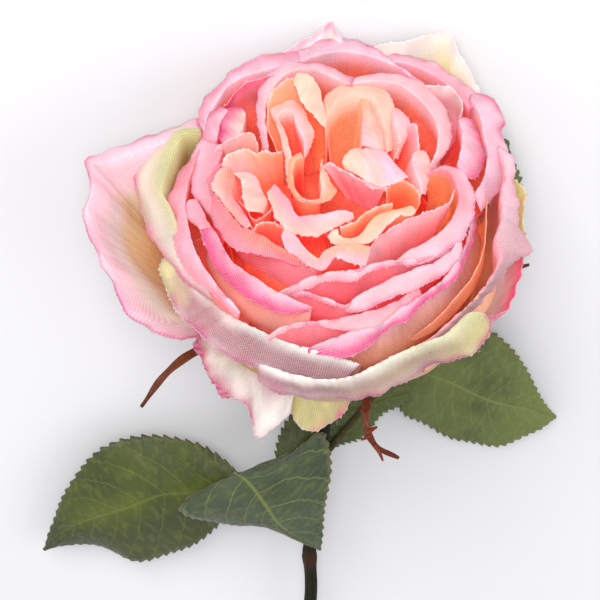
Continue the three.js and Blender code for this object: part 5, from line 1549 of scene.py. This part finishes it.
@dataclass
class Bloom:
    """The bloom: guard petals, the pink ring and the heart, each petal a piece of its own."""

    # Each cloth's lift sets the strength of its painted glow.
    guard_cloth: Cloth = Cloth("guard_cloth", contrast=0.34, roughness=0.62, glow=0.34, lift=0.08)
    pink_cloth: Cloth = Cloth("pink_cloth", contrast=0.44, glow=0.42, lift=0.2)
    heart_cloth: Cloth = Cloth("heart_cloth", contrast=0.28, glow=0.46, lift=0.22)
    core_top: float = 41.0
    layers: tuple[tuple[float, float, str], ...] = (
        (29.5, 36.5, "flame"), (33.5, 35.0, "flame"), (38.0, 33.0, "flame"), (43.0, 32.0, "tan"),
    )

    def petals(self) -> list[Petal]:
        """All petals with their rails placed in the bloom's frame."""
        made = []
        tables = {Family.GUARD: GUARDS, Family.PINK: PINKS | INNER_WALLS, Family.HEART: HEARTS}
        for family, table in tables.items():
            for name, rails in table.items():
                placed = [seen(triples(r)) for r in rails]
                dye = DYES[name]
                if family is Family.HEART:
                    dye = replace(dye, **HEART_RIM)
                form = FORMS[family] | FEET.get(name, {})
                made.append(Petal(name, family, placed, dye, **form))
        for name, (rim, low, belly) in BACK_GUARDS.items():
            turn = np.radians(rim[:, 0])
            placed = np.stack([rim[:, 1] * np.cos(turn), rim[:, 1] * np.sin(turn), rim[:, 2]], 1)
            made.append(Petal(name, Family.GUARD, [placed], DYES["top_right_cream"],
                              **FORMS[Family.GUARD], low=low, belly=belly))
        return made

    def mass(
        self, name: str, profile: list[tuple[float, float]], folds: float, colours: tuple[str, str]
    ) -> Shell:
        """A turned body with petal-like folds: each ring's radius waves round the axis.

        Args:
            name: seeds the folds. profile: radius and height pairs from the bottom.
            folds: share of the radius that the folds take. colours: low and high codes.
        """
        rng = seeded(name)
        p = smooth_path(np.array(profile, float), np.linspace(0, 1, 60))
        turn = np.arange(180) * np.pi / 90
        h = p[:, 1:2]
        phases = rng.uniform(0, FULL_TURN, 4)
        wave = sum(np.sin(n * turn + q + 0.12 * h) for n, q in zip((5, 8, 13, 21), phases)) / 3
        radii = p[:, :1] * (1 + folds * wave)
        share = ramp(p[0, 1], p[-1, 1], h)[..., None]
        tint = tone(colours[0]) * (1 - share) + tone(colours[1]) * share
        # Painted shade: the colour is a quarter darker where the folds dip in and lighter where
        # they stand out.
        tint = tint * (1 + 0.25 * wave[..., None])
        path = laid(np.c_[np.zeros((len(p), 2)), p[:, 1]])
        return Shell.rod(path, radii, 180, tint)

    def layer(self, number: int, radius: float, top: float, tint: str) -> Shell:
        """Hidden petals between the visible ones: a scalloped ring of cloth, open above.

        Args:
            number: seeds it. radius: its radius. top: how high it reaches. tint: its tone.
        """
        rng = seeded(f"layer {number}")
        turn = np.linspace(0, 2 * np.pi, 241)
        a = rng.uniform(0, FULL_TURN, 4)
        scallop = 0.5 + 0.5 * np.sin(5 * turn + a[0]) + 0.12 * np.sin(11 * turn + a[1])
        share = np.linspace(0, 1, 16)[:, None]
        r = radius * (0.86 + 0.14 * share**0.6) + 0.5 * share * np.sin(9 * turn + a[2])
        z = 20 + (top - 4 + 4 * scallop - 20) * share
        grid = np.stack([r * np.cos(turn), r * np.sin(turn), z], -1)
        # Painted shade: darker towards the bottom of the ring, 0.85 of the tone at its foot.
        colour = tone(tint) * (0.85 + 0.15 * share)[..., None] + 0 * z[..., None]
        uv = np.stack(np.broadcast_arrays(turn * radius, share * (top - 20)), -1)
        return Shell.sheet(laid(grid), 0.4 + 0 * z, colour, colour, uv)

    def build(self) -> None:
        """Makes every petal, the heart's core, the ring's bowl and layers, the guards' collar."""
        cloths = {
            Family.GUARD: (self.guard_cloth.material(), "guard_cloth", "guard_petals"),
            Family.PINK: (self.pink_cloth.material(), "pink_cloth", "pink_petals"),
            Family.HEART: (self.heart_cloth.material(), "heart_cloth", "heart_petals"),
        }
        for petal in self.petals():
            finish, slot, node = cloths[petal.family]
            petal.shell().piece(f"{petal.family.value}_{petal.name}", finish, slot, node)
        core = [(9.5, 6.3), (21, 10.5), (26.5, 18), (27, 30), (24, 37), (12, self.core_top)]
        finish, slot, node = cloths[Family.HEART]
        self.mass("core", core, 0.05, ("ember", "flame")).piece("heart_core", finish, slot, node)
        bowl = [(12, 3.4), (24, 7.4), (31.5, 15), (33.6, 26), (33.4, 31)]
        finish, slot, node = cloths[Family.PINK]
        self.mass("bowl", bowl, 0.02, ("peach", "coral")).piece("pink_bowl", finish, slot, node)
        for k, (radius, top, tint) in enumerate(self.layers):
            self.layer(k, radius, top, tint).piece(f"pink_layer_{k + 1}", finish, slot, node)
        collar = [(7.3, 0.3), (7.9, 1.4), (8.3, 2.4), (8.2, 3.4)]
        finish, slot, node = cloths[Family.GUARD]
        ring = self.mass("collar", collar, 0.02, ("moss", "lime"))
        ring.piece("guard_collar", finish, slot, node)


@dataclass
class Foliage:
    """Leaves with cut teeth and pressed veins, and the stalks that carry them."""

    thick: float = 0.6
    teeth: int = 28
    tooth: float = 1.35
    camber: float = 1.1
    quilt: float = 0.28

    def leaf(self, name: str, tints: "LeafTints") -> Shell:
        """One leaf from its left edge, midrib and right edge.

        Across runs from -1 to 1; the blade arches a little between rib and edge, bulges
        between its side veins, and each tooth grows along the edge and drops at its point.

        Args:
            name: which leaf. tints: its colours.
        """
        rng = seeded(name)
        rows, half = self.teeth * 12, 12
        left, mid, right = (spaced(seen_at(triples(r)), rows) for r in LEAVES[name])
        t = np.linspace(0, 1, rows + 1)
        open_ = np.minimum(1, np.minimum(t, 1 - t) * 10)
        f = (t * self.teeth) % 1
        tooth = self.tooth * open_ * f**1.15 * (1 - np.exp(-(1 - f) * 22))
        tooth = tooth + rng.uniform(-0.12, 0.12, rows + 1)
        x = np.linspace(-1, 1, 2 * half + 1)
        grid = np.empty((rows + 1, 2 * half + 1, 3))
        for sign, edge in ((-1, left), (1, right)):
            out = edge - mid
            wide = np.linalg.norm(out, axis=1, keepdims=True)
            good = wide[:, 0] > 2.2
            fixed = [np.interp(t, t[good], (out[good] / wide[good])[:, k]) for k in range(3)]
            out = np.stack(fixed, 1)
            out = unit(out)
            reach = np.maximum(wide, 0.6) + tooth[:, None] - 0.35 * self.tooth * open_[:, None]
            cols = np.nonzero(x * sign >= 0)[0]
            aside = out[:, None] * reach[:, None] * np.abs(x[cols])[None, :, None]
            grid[:, cols] = mid[:, None] + aside
        span = np.abs(x)[None]
        phase = (t[:, None] - 0.24 * span**1.25) * 9
        bulge = self.quilt * (np.abs(np.sin(np.pi * phase)) - 0.5)
        bulge = bulge * np.minimum(1, span * 4) * (1 - span**6)
        arch = self.camber * np.sin(np.pi * span) * 0.5 - 0.5 * np.exp(-((span / 0.09) ** 2))
        wave = 0.45 * np.sin(t[:, None] * 26 + np.sign(x)[None] * 1.7) * span**3
        lift = ((bulge + arch + wave) * open_[:, None])[..., None]
        grid = grid + normals(grid) * (np.sign(normals(grid)[..., 2:]) * lift)
        front = tints.over(t[:, None] + 0 * x, x[None] + 0 * t[:, None])
        back = front * 0 + tone(tints.under)
        if normals(grid)[..., 2].mean() < 0:
            front, back = back, front
        uv = np.stack(np.broadcast_arrays(x[None], t[:, None]), -1)
        thick = self.thick * (1 - 0.4 * span**4) + 0 * t[:, None]
        shell = Shell.sheet(grid, thick, front, back, uv)
        shell.cloth = np.concatenate([uv.reshape(-1, 2)] * 2)
        return shell

    def stalk(self, flat: list[float], start: float, end: float, tint: str) -> Shell:
        """A tapering stalk along a traced path."""
        path = spaced(seen_at(triples(flat)), 40)
        return Shell.rod(path, np.linspace(start, end, 41), 12, tone(tint))

    def build(self) -> None:
        """Makes both sprays: five leaves and their stalks."""
        finishes = {k: v.material() for k, v in LEAF_CLOTHS.items()}
        for name, (cloth, tints, node) in LEAF_LOOKS.items():
            self.leaf(name, tints).piece(f"{name}_leaf", finishes[cloth], "leaf_cloth", node)
        bark = Bark("stalk_skin", (1, 1, 1), "5a3a20", 0.55, 0.3).material()
        for name, (node, stalks) in STALKS.items():
            rods = [self.stalk(*s, "3c3a1c") for s in stalks]
            Shell.joined(rods).piece(name, bark, "leaf_cloth", node)


@dataclass
class Stem:
    """The cut stem, its two leaf joints and its blunt thorns."""

    neck: float = 1.75
    radius: float = 2.25
    joints: tuple[float, float] = (-102, -58)

    def line(self) -> np.ndarray:
        """Points along the stem from under the hip to the cut."""
        high = laid(np.array([[0, 0, -13.2]]))
        seen_part = seen_at(triples([
            329, 352, 27.5, 326, 400, 22.5, 322, 452, 19, 314, 505, 16.5, 309.5, 547, 15,
            311, 590, 13,
        ]))
        low = np.array([[-9, -168, 8.6], [-6, -205, 4.5], [-3, -236, 2.3]])
        return spaced(np.concatenate([high, seen_part, low]), 330)

    def build(self) -> None:
        """Makes the stem with fine ridges, scars at its joints, a pale cut and the thorns."""
        path = self.line()
        sides = 36
        t = np.linspace(0, 1, len(path))
        turn = np.arange(sides) * 2 * np.pi / sides
        swell = sum(np.exp(-(((path[:, 1] - y) / 3.2) ** 2)) for y in self.joints)
        plain = self.neck + (self.radius - self.neck) * np.minimum(1, t * 1.5)
        ridge = np.sin(turn * 7 + t[:, None] * 9) * 0.05 + np.sin(turn * 3 - t[:, None] * 30) * 0.04
        ring = -0.16 * sum(np.exp(-(((path[:, 1] - y - 1.2) / 0.5) ** 2)) for y in self.joints)
        radii = (plain + 0.5 * swell + ring)[:, None] + ridge
        red = np.clip(swell + ramp(0.06, 0.0, t) * 0.7, 0, 1)[:, None]
        tint = tone("0c0c05") * (1 - red) + tone("3c1a0d") * red
        high = np.maximum(0, np.sin(turn * 2 + 1.0))[None, :, None] * 0.35
        tint = tint[:, None] * (1 - high) + tone("262b10") * high
        skin = Bark("stem_skin", (1, 0.12, 1), "2a2814", 0.55, 0.7).material()
        body = Shell.rod(path, radii, sides, tint)
        body.tints[-1] = tone("b9a874")
        body.piece("cut_stem", skin, "stem_plastic", "stem")
        for k, (share, angle) in enumerate(((0.6, 2.6), (0.71, 0.5), (0.83, 3.6))):
            p = path[round(share * 22) * 15]
            away = np.array([math.cos(angle), 0, abs(math.sin(angle)) * 0.8])
            away /= np.linalg.norm(away)
            tip = p + away * (self.radius + 2.2) + [0, -1.4, 0]
            root = p + away * self.radius * 0.8
            spine = np.array([p, root, (root + tip) / 2 + [0, 0.35, 0], tip])
            thorn = smooth_path(spine, np.linspace(0, 1, 16))
            radius = np.interp(np.linspace(0, 1, 16), [0, 0.4, 0.7, 1], [1.4, 1.2, 0.6, 0.12])
            shell = Shell.rod(thorn, radius, 14, tone("5a3322"))
            shell.piece(f"thorn_{k + 1}", skin, "stem_plastic", "stem")


@dataclass
class Calyx:
    """The hip under the bloom and its sepals, of moulded plastic."""

    thick: float = 0.9
    half_width: float = 2.1

    def strip(self, middle: np.ndarray, name: str, share: float = 1.0) -> Shell:
        """One sepal: a tapering channel along a path, its width (1-t)^0.7 plus a thin tip.

        Args:
            middle: its path. name: seeds it. share: of the usual width.
        """
        rng = seeded(name)
        mid = spaced(middle, 90)
        t = np.linspace(0, 1, 91)[:, None]
        across = np.cross(np.gradient(mid, axis=0), [0, 0, 1])
        across = unit(across)
        x = np.linspace(-1, 1, 13)[None]
        half = self.half_width * share * (1 - t) ** 0.7 + 0.45
        half = half + 0.12 * np.sin(t * 40 + rng.uniform(0, 6))
        grid = mid[:, None] + across[:, None] * (x * half)[..., None]
        grid[..., 2] += 0.22 * half * x**2 - 0.05 * np.exp(-((x / 0.2) ** 2))
        grid = laid(grid)
        root = ramp(0.0, 0.25, t + 0 * x)[..., None]
        tint = tone("3c2c1a") * (1 - root) + tone("66301c") * root
        tint = tint + (tone("4a160c") - tint) * ramp(0.7, 1.0, t + 0 * x)[..., None] * 0.6
        thick = self.thick * (1 - 0.45 * x**4) + 0 * t
        uv = np.stack(np.broadcast_arrays(x, t * 30), -1)
        return Shell.sheet(grid, thick, tint, tint * 0.9, uv)

    def build(self) -> None:
        """Makes the hip, the sepals seen in the photo, the two behind and the spurs."""
        skin = Bark("sepal_skin", (1, 0.6, 1), "8a4a26", 0.38, 0.4).material()
        for name, flat in SEPALS.items():
            shells = [self.strip(seen(triples(flat)), name, 0.7 if name == "front_sepal" else 1.0)]
            if name == "front_sepal":
                for a, b in SPURS:
                    path = seen(triples([*a, *b]))
                    bent = np.array([path[0], path.mean(0) + [0.2, 0, 0.15], path[1]])
                    line = laid(smooth_path(bent, np.linspace(0, 1, 12)))
                    shells.append(Shell.rod(line, np.linspace(0.8, 0.3, 12), 10, tone("6e2414")))
            Shell.joined(shells).piece(name, skin, "sepal_plastic", "calyx")
        for k, angle in enumerate((-68, -128)):
            rays = np.array([(4, -2), (12, -2.5), (20, -6), (25, -12)], float)
            turn = math.radians(angle)
            x, y = rays[:, 0] * math.cos(turn), rays[:, 0] * math.sin(turn)
            path = np.stack([x, y, rays[:, 1]], 1)
            name = f"back_sepal_{k + 1}"
            self.strip(path, name).piece(name, skin, "sepal_plastic", "calyx")
        hip = [(2.2, -12.6), (4.2, -9.6), (5.3, -6.4), (5, -3.4), (6.2, -1.6), (6.6, -0.1)]
        p = smooth_path(np.array(hip, float), np.linspace(0, 1, 50))
        turn = np.arange(60) * np.pi / 30
        radii = p[:, :1] * (1 + 0.02 * np.sin(5 * turn) * ramp(-12, -4, p[:, 1:2]))
        share = ramp(-8, -1, p[:, 1:2])[..., None]
        tint = (tone("45501f") * (1 - share) + tone("6b4a22") * share) + 0 * turn[None, :, None]
        path = laid(np.c_[np.zeros((50, 2)), p[:, 1]])
        Shell.rod(path, radii, 60, tint).piece("hip", skin, "sepal_plastic", "calyx")


@dataclass(frozen=True)
class Studio:
    """Pale floor, soft lights and the photograph's camera, in metres."""

    foot: tuple[float, float, float] = (0.010677, 0.078827, 0.0362)
    lens: float = 111.43
    floor_half: float = 6.0

    def floor(self) -> None:
        """A wide pale floor with a barely mottled finish."""
        material, b, shader, _ = blank("pale_floor")
        place = b.add("ShaderNodeTexCoord")
        mottled = b.step(b.noise(place.outputs["Object"], 6.0, 3.0), 0.3, 0.7)
        pale = b.blend(mottled, (0.545, 0.55, 0.575, 1), (0.565, 0.57, 0.595, 1))
        b.put(shader.inputs["Base Color"], pale)
        shader.inputs["Roughness"].default_value = 0.75
        mesh = bpy.data.meshes.new("floor")
        h = self.floor_half
        mesh.from_pydata([(-h, -h, 0), (h, -h, 0), (h, h, 0), (-h, h, 0)], [], [(0, 1, 2, 3)])
        mesh.materials.append(material)
        made = bpy.data.objects.new("floor", mesh)
        bpy.context.scene.collection.objects.link(made)

    def softbox(
        self, name: str, place: tuple[float, float, float], size: float, power: float,
        colour: tuple[float, float, float],
    ) -> None:
        """A square area light that looks at the bloom.

        Args:
            name: its name. place: its place from the calyx's foot. size: its side.
            power: watts. colour: its light.
        """
        data = bpy.data.lights.new(name, "AREA")
        data.size, data.energy, data.color = size, power, colour
        lamp = bpy.data.objects.new(name, data)
        lamp.location = Vector(self.foot) + Vector(place)
        way = Vector(self.foot) + Vector((0, 0.03, 0.02)) - lamp.location
        lamp.rotation_euler = way.to_track_quat("-Z", "Y").to_euler()
        bpy.context.scene.collection.objects.link(lamp)

    def build(self) -> None:
        """Places floor, lights, world and camera."""
        self.floor()
        self.softbox("key", (-0.28, 0.85, 0.8), 0.6, 8.2, (1.0, 0.99, 0.98))
        self.softbox("face", (-0.02, 0.42, 0.86), 0.3, 4.4, (1.0, 0.99, 0.98))
        self.softbox("fill", (0.8, 0.1, 0.6), 0.7, 3.0, (0.98, 0.985, 1.0))
        self.softbox("side", (-0.8, 0.15, 0.5), 0.7, 1.1, (1.0, 0.985, 0.98))
        world = bpy.data.worlds.new("studio")
        world.use_nodes = True
        back = world.node_tree.nodes["Background"]
        back.inputs[0].default_value = (1.0, 0.98, 0.98, 1)
        back.inputs[1].default_value = 0.85
        bpy.context.scene.world = world
        data = bpy.data.cameras.new("photo_view")
        data.lens, data.sensor_width = self.lens, 36
        data.clip_start, data.clip_end = 0.01, 20
        eye = bpy.data.objects.new("photo_view", data)
        place = Vector(self.foot) + Vector((-0.009, 0.246, 0.4975))
        aim = Vector(self.foot) + Vector((-0.009, 0.018, 0.0301))
        back_way = (place - aim).normalized()
        up = Vector((0, math.cos(LOOK), -math.sin(LOOK)))
        up = (up - back_way * up.dot(back_way)).normalized()
        right = up.cross(back_way)
        turn = Matrix((right, up, back_way)).transposed().to_4x4()
        eye.matrix_world = Matrix.Translation(place) @ turn
        bpy.context.scene.collection.objects.link(eye)
        bpy.context.scene.camera = eye
        bpy.context.scene.view_settings.view_transform = "Standard"


def main() -> None:
    """Builds the rose, its leaves and the studio in order."""
    logging.basicConfig(level=logging.INFO, format="%(name)s: %(message)s")
    Bloom().build()
    Calyx().build()
    Stem().build()
    Foliage().build()
    Studio().build()


if __name__ == "__main__":
    main()
